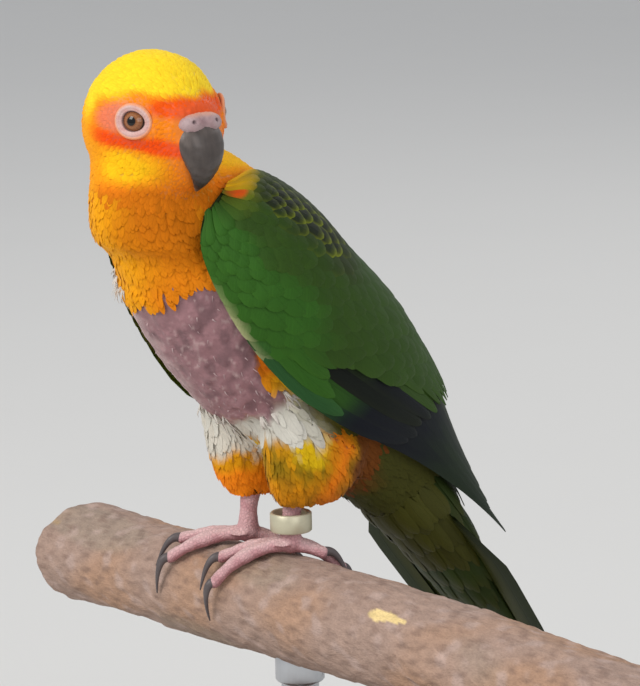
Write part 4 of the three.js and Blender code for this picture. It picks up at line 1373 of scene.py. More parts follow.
def eye_frame(mirror):
    centre = eye_middle(mirror)
    behind, front = [over_head(np.array(EYE_AHEAD + step), EYE_ANGLE, 0, mirror) for step in (-1, 1)]
    low, high = [over_head(np.array(EYE_AHEAD), EYE_ANGLE + step, 0, mirror) for step in (-4, 4)]
    ahead = unit(front - behind)
    outward = unit(np.cross(ahead, unit(high - low)) * -mirror)
    up = unit(np.cross(outward, ahead))
    return centre, ahead, outward, up if up[2] > 0 else -up


def make_eye(side, mirror):
    centre, ahead, outward, up = eye_frame(mirror)
    middle = centre + outward * (0.7 - EYE_RADIUS)
    bm, ball = unit_ball(64, 64)
    local = ball * EYE_RADIUS
    gaze = np.hypot(local[:, 0], local[:, 1])
    front = local[:, 2] > 0
    out = local[:, 2:] + (0.22 * (1 - ramp(gaze, 0.4, 2.7)) * front)[:, None]
    points = middle + local[:, :1] * ahead + local[:, 1:2] * up + out * outward
    move_verts(bm, points)
    bmesh.ops.recalc_face_normals(bm, faces=bm.faces)
    eye = smooth_object(f"eyeball_{side}", bm)
    turn = np.arctan2(local[:, 1], local[:, 0])
    fleck = 0.35 + 0.14 * np.sin(17 * turn) + 0.1 * np.sin(29 * turn + 1)
    iris = layered(
        IRIS,
        (IRIS_DARK, np.clip(fleck, 0, 1)),
        (IRIS_RING, bump(gaze, 1.5, 0.4) * 0.5),
    )
    colour = layered(
        iris,
        (PUPIL, 1 - ramp(gaze, 1.0, 1.14)),
        (IRIS_RIM, ramp(gaze, 2.2, 2.5)),
    )
    # painted shade: the eyeball's back, inside the socket, is painted near black
    paint(eye, np.where(front[:, None], colour, EYE_BACK_SHADE))
    return eye


def make_lids(side, mirror):
    """Bare lids: an oval ring in fine folds that dips to the eyeball, with a narrow rim of painted shade
    where it meets the eyeball.
    """
    centre, ahead, outward, up = eye_frame(mirror)

    def place(u, v):
        a = u * 2 * np.pi
        s = v * 2 * np.pi
        away = np.cos(a)[:, None] * ahead + np.sin(a)[:, None] * up
        sunk = 0.1 - 0.3 * np.cos(a) ** 2 - 0.5 * np.maximum(0, np.cos(a)) ** 2
        middle = (
            centre
            + (LID_AHEAD * np.cos(a))[:, None] * ahead
            + (LID_UP * np.sin(a))[:, None] * up
            + sunk[:, None] * outward
        )
        over = np.maximum(0, np.sin(s))
        folds = 1 + over * (0.08 * np.cos(s * 9) + 0.05 * np.sin(30 * a + 3 * s))
        wide = LID_WIDE * folds * np.cos(s)
        tall = LID_TALL * folds * np.sin(s) - 0.45 * np.maximum(0, -np.cos(s))
        return middle + wide[:, None] * away + tall[:, None] * outward

    lids = smooth_object(f"lid_folds_{side}", swept_form(place, 144, 48, capped=False))
    points = unplaced(vertex_points(lids)) - centre
    ring = np.hypot(points @ ahead / LID_AHEAD, points @ up / LID_UP)
    rosy = np.clip(0.3 + 0.3 * waves(points, 2, 85), 0, 1)
    colour = layered(
        LID_PALE,
        (LID_ROSE, rosy),
        # painted shade along the inner edge, where the lid meets the eyeball
        (LID_RIM_SHADE, 1 - ramp(ring, 0.74, 0.82)),
        (LID_EDGE, ramp(ring, 1.1, 1.3) * 0.8),
    )
    paint(lids, colour)
    return lids


# Legs and feet

def over_perch(along, around, height):
    a = around / (PERCH_RADIUS + height)
    reach = PERCH_RADIUS + height
    return np.stack(np.broadcast_arrays(along, -reach * np.sin(a), reach * np.cos(a) - PERCH_RADIUS), -1)


def tube_round(path, radius, u, v, squash=1.0, top=None):
    """Points round a path(u): across it level, and outward from the branch."""
    step = 0.01
    run = unit(path(np.minimum(u + step, 1)) - path(np.maximum(u - step, 0)))
    level = unit(np.cross(run, np.broadcast_to(np.array((0, 0, 1.0)), run.shape)) + 1e-6)
    upward = np.cross(level, run)
    a = v * 2 * np.pi
    wide = radius * np.cos(a)
    tall = radius * squash * np.sin(a)
    if top is not None:
        tall = tall + top * np.maximum(0, np.sin(a))
    return path(u) + wide[:, None] * level + tall[:, None] * upward


# A toe's middle over the bark and its radius, each at the ankle and at the tip
TOE_HEIGHT = (2.5, 1.75)
TOE_RADIUS = (2.0, 1.42)
TOE_KNUCKLE = 0.2
TOE_ROUNDED = 0.9
SCUTE_LENGTH = 1.35
SCUTE_RISE = 0.09
ANKLE_HEIGHT = 3.1
ANKLE_RADIUS = 2.9
CLAW_RADIUS = (1.2, 0.16)

# The shank's line, back and up, and its radius there
SHANK_LINE = ((-1.2, 2.6), (1.2, 4), (1.7, 8), (2.4, 11.5), (4.4, 16))
SHANK_RADII = np.array([(2.3,), (2.5,), (2.05,), (2.3,), (2.7,)], float)
RING_BACK = 1.7
RING_UP = 5.6


def toe_form(mirror, heading, length, joints):
    angle = math.radians(heading)

    def path(u):
        s = length * u
        side = mirror * FOOT_SPACING / 2 - s * math.sin(angle)
        return over_perch(side, s * math.cos(angle) + ANKLE_FORWARD, mix(*TOE_HEIGHT, u))

    def place(u, v):
        swell = TOE_KNUCKLE * np.cos(2 * np.pi * joints * u) ** 3
        scute = SCUTE_RISE * np.abs(np.sin(np.pi * length / SCUTE_LENGTH * u)) ** 0.5
        close = np.sqrt(np.clip(1 - ((u - TOE_ROUNDED) / 0.1) ** 2, 0, 1))
        end = np.where(u > TOE_ROUNDED, close, 1)
        radius = (mix(*TOE_RADIUS, u) + swell) * end
        return tube_round(path, radius, u, v, 0.95, scute * end)

    return swept_form(place, 90, 28)


def shank_form(mirror):
    side = mirror * FOOT_SPACING / 2
    line = np.array([(side, back, up) for back, up in SHANK_LINE])
    last = len(SHANK_LINE) - 1

    def place(u, v):
        centre = between(line, u * last)
        scute = 1 + 0.045 * np.abs(np.sin(np.pi * 11 * u)) ** 0.5
        radius = between(SHANK_RADII, u * last)[:, 0] * scute
        return ellipse_points(centre, LEFT, np.array((0, 1.0, 0)), radius, radius, v)

    return swept_form(place, 60, 32)


FOOT_VOXEL = 0.3


def make_foot(side, mirror):
    forms = [shank_form(mirror)]
    for name, (heading, length) in TOES[side].items():
        forms.append(toe_form(mirror, heading, length, 1 if "back" in name else 2))
    ankle = bmesh.new()
    bmesh.ops.create_uvsphere(ankle, u_segments=32, v_segments=24, radius=ANKLE_RADIUS * MM)
    middle = over_perch(mirror * FOOT_SPACING / 2, ANKLE_FORWARD, ANKLE_HEIGHT)
    bmesh.ops.translate(ankle, verts=ankle.verts, vec=placed(middle))
    forms.append(ankle)
    bm = fused(joined(forms), FOOT_VOXEL)
    evened(bm, 2)
    foot = smooth_object(f"foot_skin_{side}", bm)
    points = unplaced(vertex_points(foot))
    normals = vertex_normals(foot)
    colour = layered(
        TOE_PINK,
        (TOE_ROSE, ramp(waves(points, 5, 91), -0.2, 0.9) * 0.5),
        # painted light on the faces turned up and painted shade on the faces turned down
        (TOE_LIT_TOP, ramp(normals[:, 2], 0.2, 0.9) * 0.6),
        (TOE_SHADED_UNDER, ramp(-normals[:, 2], -0.1, 0.6) * 0.7),
    )
    paint(foot, colour)
    return foot


def make_claw(side, mirror, name):
    heading, length = TOES[side][name]
    square = 180 if heading > 90 else 0
    hooked = math.radians(square + (heading - square) * CLAW_STRAIGHTEN)
    angle = math.radians(heading)
    root = length - CLAW_SEAT

    def path(u):
        run = CLAW_LENGTH * u
        along = mirror * FOOT_SPACING / 2 - root * math.sin(angle) - run * math.sin(hooked)
        arch = 1.9 + 1.8 * np.sin(np.pi * u) * (1 - u) - 1.1 * u**2
        return over_perch(along, root * math.cos(angle) + run * math.cos(hooked) + ANKLE_FORWARD, arch)

    def place(u, v):
        return tube_round(path, mix(*CLAW_RADIUS, u**0.9), u, v, 1.12)

    return smooth_object(f"nail_{side}_{name}", swept_form(place, 28, 20))


def spun(name, profile, steps):
    """A form turned on the upright axis from rows of radius and height."""
    bm = bmesh.new()
    corners = [bm.verts.new((radius * MM, 0, height * MM)) for radius, height in profile]
    edges = [bm.edges.new(ends) for ends in zip(corners, corners[1:])]
    bmesh.ops.spin(
        bm, geom=corners + edges, axis=(0, 0, 1), angle=2 * math.pi, steps=steps, use_merge=True
    )
    bmesh.ops.remove_doubles(bm, verts=bm.verts, dist=MERGE)
    bmesh.ops.recalc_face_normals(bm, faces=bm.faces)
    return smooth_object(name, bm)


def make_leg_ring():
    """A flattened metal band round the leg, with rounded lips."""
    inner = RING_RADIUS - RING_WALL
    lip = 0.28
    profile = [
        (inner, lip),
        (inner + lip, 0),
        (RING_RADIUS - lip, 0),
        (RING_RADIUS, lip),
        (RING_RADIUS, RING_HEIGHT - lip),
        (RING_RADIUS - lip, RING_HEIGHT),
        (inner + lip, RING_HEIGHT),
        (inner, RING_HEIGHT - lip),
    ]
    ring = spun("leg_band", profile + profile[:1], 72)
    ring.data.transform(Matrix.Translation(placed((FOOT_SPACING / 2, RING_BACK, RING_UP))))
    return ring


# The branch and the stand

# The bark swells and knots away from the feet, the far end hangs, and the near end is cut at a slant
BARK_EVEN_FOR = 28
BARK_BLEND = 20
BARK_SWELL = 0.45
BARK_OVAL = 0.35
BARK_SUNK = 0.6
BARK_KNOT = 0.3
SAG_FROM = 10
END_SLANT = 4.5
CHIP_ALONG = 42
CHIP_ROUND = 10.9


def make_perch():
    dice = np.random.default_rng(11)
    phases = dice.uniform(0, 6.3, 3)

    def place(u, v):
        ends = np.clip(u * 1.04 - 0.02, 0, 1)
        cap = np.clip(np.minimum(u, 1 - u) / 0.02, 0, 1)
        along = mix(PERCH_LEFT, PERCH_RIGHT, ends)
        a = v * 2 * np.pi
        away = np.clip((np.abs(along - BIRD_X) - BARK_EVEN_FOR) / BARK_BLEND, 0, 1)
        sag = PERCH_DROOP * (np.maximum(0, along - SAG_FROM) / (PERCH_RIGHT - SAG_FROM)) ** 2
        swell = BARK_SWELL * np.sin(along / 17 + phases[0])
        swell = swell + BARK_OVAL * np.sin(2 * a + along / 23 + phases[1]) - BARK_SUNK
        knot = BARK_KNOT * np.sin(3 * a - along / 11 + phases[2])
        edge = -1.4 * (1 - ramp(np.minimum(along - PERCH_LEFT, PERCH_RIGHT - along), 0, 1.2))
        slanted = (END_SLANT * np.cos(a) * cap + 1) * (1 - ramp(u, 0, 0.3))
        slope = np.where(u < 0.3, slanted, 0)
        spot = np.stack([along, 13 * np.cos(a), 13 * np.sin(a)], -1)
        bark = 0.16 * waves(spot * (0.6, 1, 1), 7, 101) + 0.14 * waves(spot * (0.5, 1, 1), 2.6, 102)
        flake = 0.2 * ramp(waves(spot * (0.4, 1, 1), 9, 103), 0.25, 0.45)
        radius = (PERCH_RADIUS + away * (swell + knot) + edge + bark + flake - 0.32) * cap
        up = radius * np.sin(a) - sag - PERCH_RADIUS
        return np.stack([along + slope - BIRD_X, radius * np.cos(a), up], -1)

    perch = smooth_object("branch", swept_form(place, 320, 144))
    points = unplaced(vertex_points(perch))
    along = points[:, 0] + BIRD_X
    away = np.hypot(points[:, 1], points[:, 2] + PERCH_RADIUS)
    stretched = points * (0.4, 1, 1)
    colour = layered(
        BARK_GREY,
        (BARK_TAN, ramp(waves(stretched, 19, 104), 0, 0.9) * 0.7),
        (BARK_MOSS, ramp(waves(stretched, 23, 105), 0.3, 0.9) * 0.4),
        (BARK_PALE, ramp(waves(stretched, 2.4, 106), 0.2, 1.2) * 0.6),
        (BARK_DARK, ramp(waves(stretched, 1.7, 107), 0.2, 1.2) * 0.5),
    )
    arc = PERCH_RADIUS * np.arctan2(-points[:, 1], points[:, 2] + PERCH_RADIUS)
    chip_along = (along - CHIP_ALONG) / 7 + 0.12 * waves(points, 4, 108)
    chip_wide = mix(2, 0.9, ramp(along, 36, 49))
    chip_round = (arc - CHIP_ROUND) / chip_wide + 0.15 * waves(points, 3, 109)
    chip = 1 - ramp(np.hypot(chip_along, chip_round), 0.85, 1)
    colour = blended(colour, CHIP_WOOD, chip)
    grain = CUT_WOOD * (1 + 0.16 * np.sin(away * 4.2 + 0.5 * waves(points, 6, 110)))[:, None]
    cut = ramp(-along, 84, 85.5) + ramp(along, 126.6, 127.5)
    paint(perch, blended(colour, grain, np.clip(cut, 0, 1) * (1 - ramp(away, 11.2, 11.9))))
    return perch


BASE_PROFILE = (
    (0, 0),
    (64.4, 0),
    (65.4, 0.3),
    (66, 1.2),
    (66, 3.4),
    (65.2, 3.9),
    (65.2, 4.5),
    (66, 5),
    (66, 9.2),
    (65.7, 10.5),
    (65, 11.3),
    (63.6, 11.9),
    (62, 12),
    (0, 12),
)
ROD_PROFILE = (
    (0, 12.1),
    (9.5, 12.1),
    (9.5, 13.2),
    (9.1, 13.7),
    (5.6, 13.9),
    (4.8, 14.6),
    (4.5, 15.4),
    (4.5, 74.6),
    (4.8, 75),
    (5.6, 75.2),
    (5.9, 75.6),
    (5.9, 82.6),
    (5.5, 83.2),
    (0, 83.2),
)


# Loose down and quills on the bare breast

def strands(name, slot, roots, normals, lie, lengths, widths, lifts, curls, colour, dice):
    """Thin single strands that rise from their roots and curl over."""
    form = SMALL_VANE[0]
    u = form[:, 0]
    edge = 2 * form[:, 1] - 1
    along = lengths[:, None] * u
    rise = lifts[:, None] * np.sin(u * curls[:, None] * np.pi / 2) - 0.25 * (1 - u)
    across = unit(np.cross(normals, lie))
    sway = dice.normal(0, 0.12, len(roots))[:, None] * along * u
    outline = (1 - u**1.6) * 0.9 + 0.1
    points = roots[:, None] + lie[:, None] * along[..., None] + normals[:, None] * rise[..., None]
    points = points + across[:, None] * ((widths[:, None] / 2 * outline * edge) + sway)[..., None]
    points = points + normals[:, None] * (0.35 * widths[:, None] * outline * form[:, 2])[..., None]
    colours = np.broadcast_to(colour, points.shape) * dice.uniform(0.85, 1.05, len(roots))[:, None, None]
    made = feather_mesh(name, SMALL_VANE, points, colours, skin_patch(roots))
    seated(made, slot)
    return made


def make_breast_trimmings(surface):
    dice = np.random.default_rng(120)

    def thick(points):
        crowded = 0.35 + 0.65 * ramp(points[:, 0], -2, 8) * ramp(-points[:, 2], -54, -44)
        return (bare_share(points) > 0.8) * crowded

    quills = scattered(surface, thick, 2.4, dice)
    quills = quills[dice.random(len(quills)) < thick(quills)]
    _, normals = nearest(surface["tree"], quills)
    count = len(quills)
    lie = turned(lie_of(quills, normals, False), normals, dice.normal(0, 24, count))
    made = [strands(
        "pin_feathers", "bare_skin", quills, normals, lie, dice.uniform(0.7, 2.2, count),
        dice.uniform(0.24, 0.46, count), dice.uniform(0.1, 0.5, count), dice.uniform(1.0, 1.8, count),
        QUILL_SHEATH, dice,
    )]

    def rim(points):
        bare = bare_share(points)
        place, from_back = trunk_place(points)
        right = ramp(-points[:, 0], -2, 4)
        above = (place < 2) * right * (from_back < 160)
        below = (place > 2.9) * (0.5 + 0.5 * right)
        return (bare > 0.3) * (bare < 0.95) * (above + below)

    clumps = scattered(surface, rim, 1.7, dice)
    clumps = clumps[dice.random(len(clumps)) < rim(clumps)]
    _, normals = nearest(surface["tree"], clumps)
    clumps = np.repeat(clumps, 5, 0)
    normals = np.repeat(normals, 5, 0)
    count = len(clumps)
    lie = turned(lie_of(clumps, normals, False), normals, dice.normal(0, 17, count))
    made.append(strands(
        "down_tufts", "body_feathers", clumps, normals, lie, dice.uniform(2.4, 5.0, count),
        dice.uniform(0.4, 0.95, count), dice.uniform(0.3, 1.5, count), dice.uniform(1.0, 1.7, count),
        LOOSE_DOWN, dice,
    ))
    return made


# Materials

def node_group(name, inputs, outputs):
    group = bpy.data.node_groups.new(name, "ShaderNodeTree")
    for label, kind, default in inputs:
        socket = group.interface.new_socket(label, in_out="INPUT", socket_type=kind)
        if default is not None:
            socket.default_value = default
    for label, kind in outputs:
        group.interface.new_socket(label, in_out="OUTPUT", socket_type=kind)
    entry = group.nodes.new("NodeGroupInput")
    leave = group.nodes.new("NodeGroupOutput")
    return group, entry, leave


def math_node(tree, operation, first, second=None, third=None):
    node = tree.nodes.new("ShaderNodeMath")
    node.operation = operation
    for socket, value in zip(node.inputs, (first, second, third)):
        if value is None:
            continue
        if isinstance(value, (int, float)):
            socket.default_value = value
        else:
            tree.links.new(value, socket)
    return node.outputs[0]


def range_node(tree, value, low, high, to_low, to_high):
    node = tree.nodes.new("ShaderNodeMapRange")
    tree.links.new(value, node.inputs["Value"])
    for label, number in zip(("From Min", "From Max", "To Min", "To Max"), (low, high, to_low, to_high)):
        node.inputs[label].default_value = number
    return node.outputs[0]


def noise_node(tree, vector, scale, detail=3.0, roughness=0.55):
    node = tree.nodes.new("ShaderNodeTexNoise")
    node.inputs["Detail"].default_value = detail
    node.inputs["Roughness"].default_value = roughness
    tree.links.new(vector, node.inputs["Vector"])
    if isinstance(scale, (int, float)):
        node.inputs["Scale"].default_value = scale
    else:
        tree.links.new(scale, node.inputs["Scale"])
    return node.outputs["Fac"]


def shade_from(tree, value, contrast):
    """A shade near 1 from a value between 0 and 1."""
    centred = math_node(tree, "MULTIPLY", math_node(tree, "SUBTRACT", value, 0.5), 2.0)
    return math_node(tree, "MULTIPLY_ADD", centred, contrast, 1.0)


def own_space(tree):
    return tree.nodes.new("ShaderNodeTexCoord").outputs["Object"]


SHADE_AND_HEIGHT = (("Shade", "NodeSocketFloat"), ("Height", "NodeSocketFloat"))


def make_barbs():
    """Barbs that run from the shaft to the edge: a shade near 1 and a height."""
    group, entry, leave = node_group(
        "Barbs", (("Count", "NodeSocketFloat", 20.0), ("Contrast", "NodeSocketFloat", 0.3)),
        SHADE_AND_HEIGHT,
    )
    uv = group.nodes.new("ShaderNodeUVMap")
    uv.uv_map = "Vane"
    split = group.nodes.new("ShaderNodeSeparateXYZ")
    group.links.new(uv.outputs[0], split.inputs[0])
    edge = math_node(group, "ABSOLUTE", math_node(group, "SUBTRACT", split.outputs[1], 0.5))
    slant = math_node(group, "SUBTRACT", split.outputs[0], math_node(group, "MULTIPLY", edge, 0.55))
    spread = noise_node(group, own_space(group), 240.0, 1.0)
    run = math_node(group, "MULTIPLY", slant, entry.outputs["Count"])
    join = group.nodes.new("ShaderNodeCombineXYZ")
    group.links.new(run, join.inputs[0])
    group.links.new(math_node(group, "MULTIPLY", edge, 2.2), join.inputs[1])
    group.links.new(math_node(group, "MULTIPLY", spread, 3.0), join.inputs[2])
    streaks = noise_node(group, join.outputs[0], 1.0, 2.0, 0.6)
    shaft = range_node(group, edge, 0.0, 0.035, 1.0, 0.0)
    shade = shade_from(group, streaks, entry.outputs["Contrast"])
    shade = math_node(group, "MULTIPLY_ADD", shaft, -0.12, shade)
    group.links.new(shade, leave.inputs["Shade"])
    group.links.new(math_node(group, "ADD", streaks, shaft), leave.inputs["Height"])
    return group


def make_mottle():
    """Blotches and fine grain in the object's own space: a shade near 1 and a height."""
    group, entry, leave = node_group(
        "Mottle",
        (
            ("Scale", "NodeSocketFloat", 300.0),
            ("Contrast", "NodeSocketFloat", 0.3),
            ("Stretch", "NodeSocketVector", (1, 1, 1)),
        ),
        SHADE_AND_HEIGHT,
    )
    stretch = group.nodes.new("ShaderNodeVectorMath")
    stretch.operation = "MULTIPLY"
    group.links.new(own_space(group), stretch.inputs[0])
    group.links.new(entry.outputs["Stretch"], stretch.inputs[1])
    coarse = noise_node(group, stretch.outputs[0], entry.outputs["Scale"], 4.0)
    finer = math_node(group, "MULTIPLY", entry.outputs["Scale"], 5.0)
    fine = noise_node(group, stretch.outputs[0], finer, 2.0)
    both = math_node(group, "MULTIPLY_ADD", fine, 0.4, math_node(group, "MULTIPLY", coarse, 0.6))
    shade = shade_from(group, both, entry.outputs["Contrast"])
    group.links.new(shade, leave.inputs["Shade"])
    group.links.new(both, leave.inputs["Height"])
    return group


BARBS = make_barbs()
MOTTLE = make_mottle()


def placed_group(tree, group, **values):
    node = tree.nodes.new("ShaderNodeGroup")
    node.node_tree = group
    for label, value in values.items():
        node.inputs[label].default_value = value
    return node


def new_finish(name, roughness, specular=0.4):
    finish = bpy.data.materials.new(name)
    finish.use_nodes = True
    shader = finish.node_tree.nodes["Principled BSDF"]
    shader.inputs["Roughness"].default_value = roughness
    shader.inputs["Specular IOR Level"].default_value = specular
    return finish, finish.node_tree, shader


def carried_colour(tree):
    node = tree.nodes.new("ShaderNodeAttribute")
    node.attribute_name = CARRIED
    return node.outputs["Color"]


def shaded(tree, colour, shade):
    """A colour made lighter and darker by a shade near 1."""
    node = tree.nodes.new("ShaderNodeVectorMath")
    node.operation = "SCALE"
    if isinstance(colour, np.ndarray):
        node.inputs[0].default_value = colour
    else:
        tree.links.new(colour, node.inputs[0])
    tree.links.new(shade, node.inputs["Scale"])
    return node.outputs[0]


def tint(tree, shader, colour, shade):
    tree.links.new(shaded(tree, colour, shade), shader.inputs["Base Color"])


def raise_surface(tree, shader, height, strength, distance):
    node = tree.nodes.new("ShaderNodeBump")
    node.inputs["Strength"].default_value = strength
    node.inputs["Distance"].default_value = distance
    tree.links.new(height, node.inputs["Height"])
    tree.links.new(node.outputs[0], shader.inputs["Normal"])


def feather_finish(name, count, contrast, roughness, sheen, height):
    finish, tree, shader = new_finish(name, roughness, 0.12)
    shader.inputs["Sheen Weight"].default_value = sheen
    shader.inputs["Sheen Roughness"].default_value = 0.4
    barbs = placed_group(tree, BARBS, Count=count, Contrast=contrast)
    tint(tree, shader, carried_colour(tree), barbs.outputs["Shade"])
    raise_surface(tree, shader, barbs.outputs["Height"], 0.6, height * MM)
    return finish


def mottled_finish(name, colour, scale, contrast, roughness, height, stretch=(1, 1, 1), strength=0.5):
    """A surface in one colour, or in its own painted ones, with blotches and grain."""
    finish, tree, shader = new_finish(name, roughness)
    grain = placed_group(tree, MOTTLE, Scale=scale, Contrast=contrast, Stretch=stretch)
    source = carried_colour(tree) if colour is None else colour
    tint(tree, shader, source, grain.outputs["Shade"])
    raise_surface(tree, shader, grain.outputs["Height"], strength, height * MM)
    return finish, tree, shader, grain


def cells_node(tree, feature, scale):
    cells = tree.nodes.new("ShaderNodeTexVoronoi")
    cells.feature = feature
    cells.inputs["Scale"].default_value = scale
    tree.links.new(own_space(tree), cells.inputs["Vector"])
    return cells.outputs["Distance"]


def scaly_finish():
    """Foot skin in small scales with darker seams."""
    finish, tree, shader = new_finish("foot_scales", 0.5)
    distance = cells_node(tree, "DISTANCE_TO_EDGE", 1150)
    seam = range_node(tree, distance, 0.0, 0.16, 0.82, 1.03)
    tint(tree, shader, carried_colour(tree), seam)
    height = range_node(tree, distance, 0.0, 0.2, 0.0, 1.0)
    raise_surface(tree, shader, height, 0.8, 0.12 * MM)
    return finish


def bare_finish():
    """Under the coat: dull skin. On the plucked breast: pimpled, slightly moist skin."""
    finish, tree, shader = new_finish("bare_breast_skin", 0.52)
    pimple = range_node(tree, cells_node(tree, "F1", 520), 0.05, 0.45, 1.0, 0.0)
    grain = placed_group(tree, MOTTLE, Scale=260.0, Contrast=0.35)
    shade = math_node(tree, "MULTIPLY_ADD", pimple, 0.16, grain.outputs["Shade"])
    tint(tree, shader, carried_colour(tree), shade)
    both = math_node(tree, "MULTIPLY_ADD", pimple, 0.7, grain.outputs["Height"])
    raise_surface(tree, shader, both, 0.7, 0.3 * MM)
    return finish


def eye_finish():
    finish, tree, shader = new_finish("wet_eye", 0.2, 0.1)
    shader.inputs["Coat Weight"].default_value = 0.7
    shader.inputs["Coat Roughness"].default_value = 0.02
    grain = placed_group(tree, MOTTLE, Scale=1400.0, Contrast=0.25)
    tint(tree, shader, carried_colour(tree), grain.outputs["Shade"])
    return finish


def horn_finish(name, dark, scale):
    finish, tree, shader, grain = mottled_finish(name, dark, scale, 0.4, 0.38, 0.12, (1, 1, 0.4))
    rough = range_node(tree, grain.outputs["Height"], 0.3, 0.7, 0.3, 0.52)
    tree.links.new(rough, shader.inputs["Roughness"])
    return finish


def wood_finish():
    """Dark stained wood: fine rings with pores, under a satin coat."""
    finish, tree, shader = new_finish("stained_wood", 0.42)
    shader.inputs["Coat Weight"].default_value = 0.25
    shader.inputs["Coat Roughness"].default_value = 0.3
    grain = placed_group(tree, MOTTLE, Scale=38.0, Contrast=0.55, Stretch=(1, 9, 9))
    fine = placed_group(tree, MOTTLE, Scale=260.0, Contrast=0.25, Stretch=(0.3, 6, 6))
    shade = math_node(tree, "MULTIPLY", grain.outputs["Shade"], fine.outputs["Shade"])
    tint(tree, shader, STAINED_WOOD, shade)
    raise_surface(tree, shader, fine.outputs["Height"], 0.35, 0.1 * MM)
    return finish


def metal_finish(name, colour, roughness, stretch, metallic):
    finish, tree, shader = new_finish(name, roughness, 0.5)
    shader.inputs["Metallic"].default_value = metallic
    grain = placed_group(tree, MOTTLE, Scale=500.0, Contrast=0.14, Stretch=stretch)
    tint(tree, shader, colour, grain.outputs["Shade"])
    rough = range_node(tree, grain.outputs["Height"], 0.3, 0.7, roughness - 0.07, roughness + 0.1)
    tree.links.new(rough, shader.inputs["Roughness"])
    return finish


def wear(finish, *pieces):
    for piece in pieces:
        piece.data.materials.clear()
        piece.data.materials.append(finish)


# The whole bird

THROAT_END = 1.02
WING_COVERED = 1.3
TUCKED_LOW = 14
TUCKED_HIGH = 12


def on_head(points):
    return (head_share(points) > 0.45) & (bare_distance(points) > 0.25)


def on_face(points):
    ahead, left, up = in_head(points).T
    beside_eye = (np.abs(up - 2) < 8) & (ahead > -2) & (np.abs(left) > 9)
    return (ahead > 3.5) | beside_eye


def on_thigh(points):
    side, back, up = points.T
    behind = np.minimum(25 - 0.25 * (33 - up), (46 - up) / 0.9)
    return (up < 33) & (np.abs(side) > 1.5) & (back < behind) & (back > -13)


def under_wing(points):
    place, from_back = trunk_place(points)
    row = row_where(WING, place)
    degrees = 90 - from_back
    inside = (degrees > row[:, 1] + TUCKED_LOW) & (degrees < row[:, 2] - TUCKED_HIGH)
    return (place > WING_COVERED) & inside


def trunk_zone(first, last, low, high):
    def test(points):
        place, from_back = trunk_place(points)
        inside = (place >= first) & (place < last) & (from_back >= low) & (from_back < high)
        clear = (head_share(points) <= 0.5) & ~on_thigh(points) & ~under_wing(points)
        return inside & clear & (bare_share(points) < 0.35)
    return test


# Coats of the trunk: name, slot, zone (place and angle), measures as for lay_coat, and seed
TRUNK_COATS = (
    ("throat", "throat_feathers", (-1, THROAT_END, 75, 181), (0.98, 5.4, 2.3, 0.8, 9), 203),
    ("nape", "throat_feathers", (-1, THROAT_END, -1, 75), (1.05, 6.0, 2.6, 0.9, 8), 204),
    ("breast", "body_feathers", (THROAT_END, 2.9, 75, 181), (1.05, 6.0, 2.5, 0.9, 10), 205),
    ("mantle", "body_feathers", (THROAT_END, 4.2, -1, 75), (1.7, 8.5, 4.6, 1.2, 7), 206),
    ("belly", "body_feathers", (2.9, 5.97, 75, 181), (1.25, 7.0, 2.8, 1.0, 10), 207),
    ("rump", "body_feathers", (4.2, 5.97, -1, 75), (1.9, 8.5, 4.8, 1.3, 8), 208),
)


def dressed(piece, slot, finish, *nodes):
    wear(finish, piece)
    seated(piece, slot, *nodes)


def build_coats(skin):
    surface = surface_of(skin)
    soft = feather_finish("soft_feathers", 9.0, 0.14, 0.75, 0.05, 0.04)
    loose = feather_finish("loose_feathers", 14.0, 0.22, 0.78, 0.06, 0.05)

    def face(points):
        return on_head(points) & on_face(points)

    def crown(points):
        return on_head(points) & ~on_face(points)

    coats = []
    for name, keep, measures, seed in (
        ("face", face, (0.7, 4.4, 2.0, 0.7, 7), 201),
        ("crown", crown, (0.85, 5.8, 2.6, 0.8, 7), 202),
    ):
        coats.append(lay_coat(
            f"coat_{name}", "head_feathers", surface, keep, head_markings, measures, seed,
            unwrap=head_patch,
        ))
    for name, slot, zone, measures, seed in TRUNK_COATS:
        keep = trunk_zone(*zone)
        coats.append(lay_coat(f"coat_{name}", slot, surface, keep, body_markings, measures, seed))
    wear(soft, *coats)
    for side, mirror in MIRRORS.items():
        def this_thigh(points, mirror=mirror):
            return on_thigh(points) & (points[:, 0] * mirror > 0)
        wear(loose, lay_coat(
            f"coat_thigh_{side}", "thigh_feathers", surface, this_thigh, thigh_markings,
            (0.95, 6.5, 1.8, 1.0, 9), 210, thigh=True,
        ))
    wear(loose, *make_breast_trimmings(surface))


def build_bird():
    skin = make_skin()
    wear(bare_finish(), skin)
    build_coats(skin)
    quill = feather_finish("wing_feathers", 46.0, 0.2, 0.55, 0.0, 0.05)
    for side, mirror in MIRRORS.items():
        wear(quill, *make_wing(side, mirror))
    wear(quill, *make_tail())

    horn = horn_finish("bill_horn", None, 420.0)
    nail = horn_finish("nail_horn", NAIL_GREY, 700.0)
    bare = mottled_finish("bare_face_skin", None, 900.0, 0.25, 0.55, 0.08)[0]
    scales = scaly_finish()
    wet = eye_finish()
    dressed(make_bill_upper(), "bill_horn", horn, "bill_upper")
    dressed(make_bill_lower(), "bill_horn", horn, "bill_lower")
    dressed(make_cere(), "bare_skin", bare, "cere")
    for side, mirror in MIRRORS.items():
        dressed(make_eye(side, mirror), "eye_gloss", wet, f"eye_{side}")
        dressed(make_lids(side, mirror), "bare_skin", bare, f"lids_{side}")
        dressed(make_foot(side, mirror), "foot_skin", scales, f"foot_{side}", f"shank_{side}")
        for name in TOES[side]:
            dressed(make_claw(side, mirror, name), "claw_horn", nail, f"claw_{side}_{name}")
    band = metal_finish("band_metal", BAND_METAL, 0.42, (1, 1, 1), 0.4)
    dressed(make_leg_ring(), "ring_metal", band, "leg_ring")


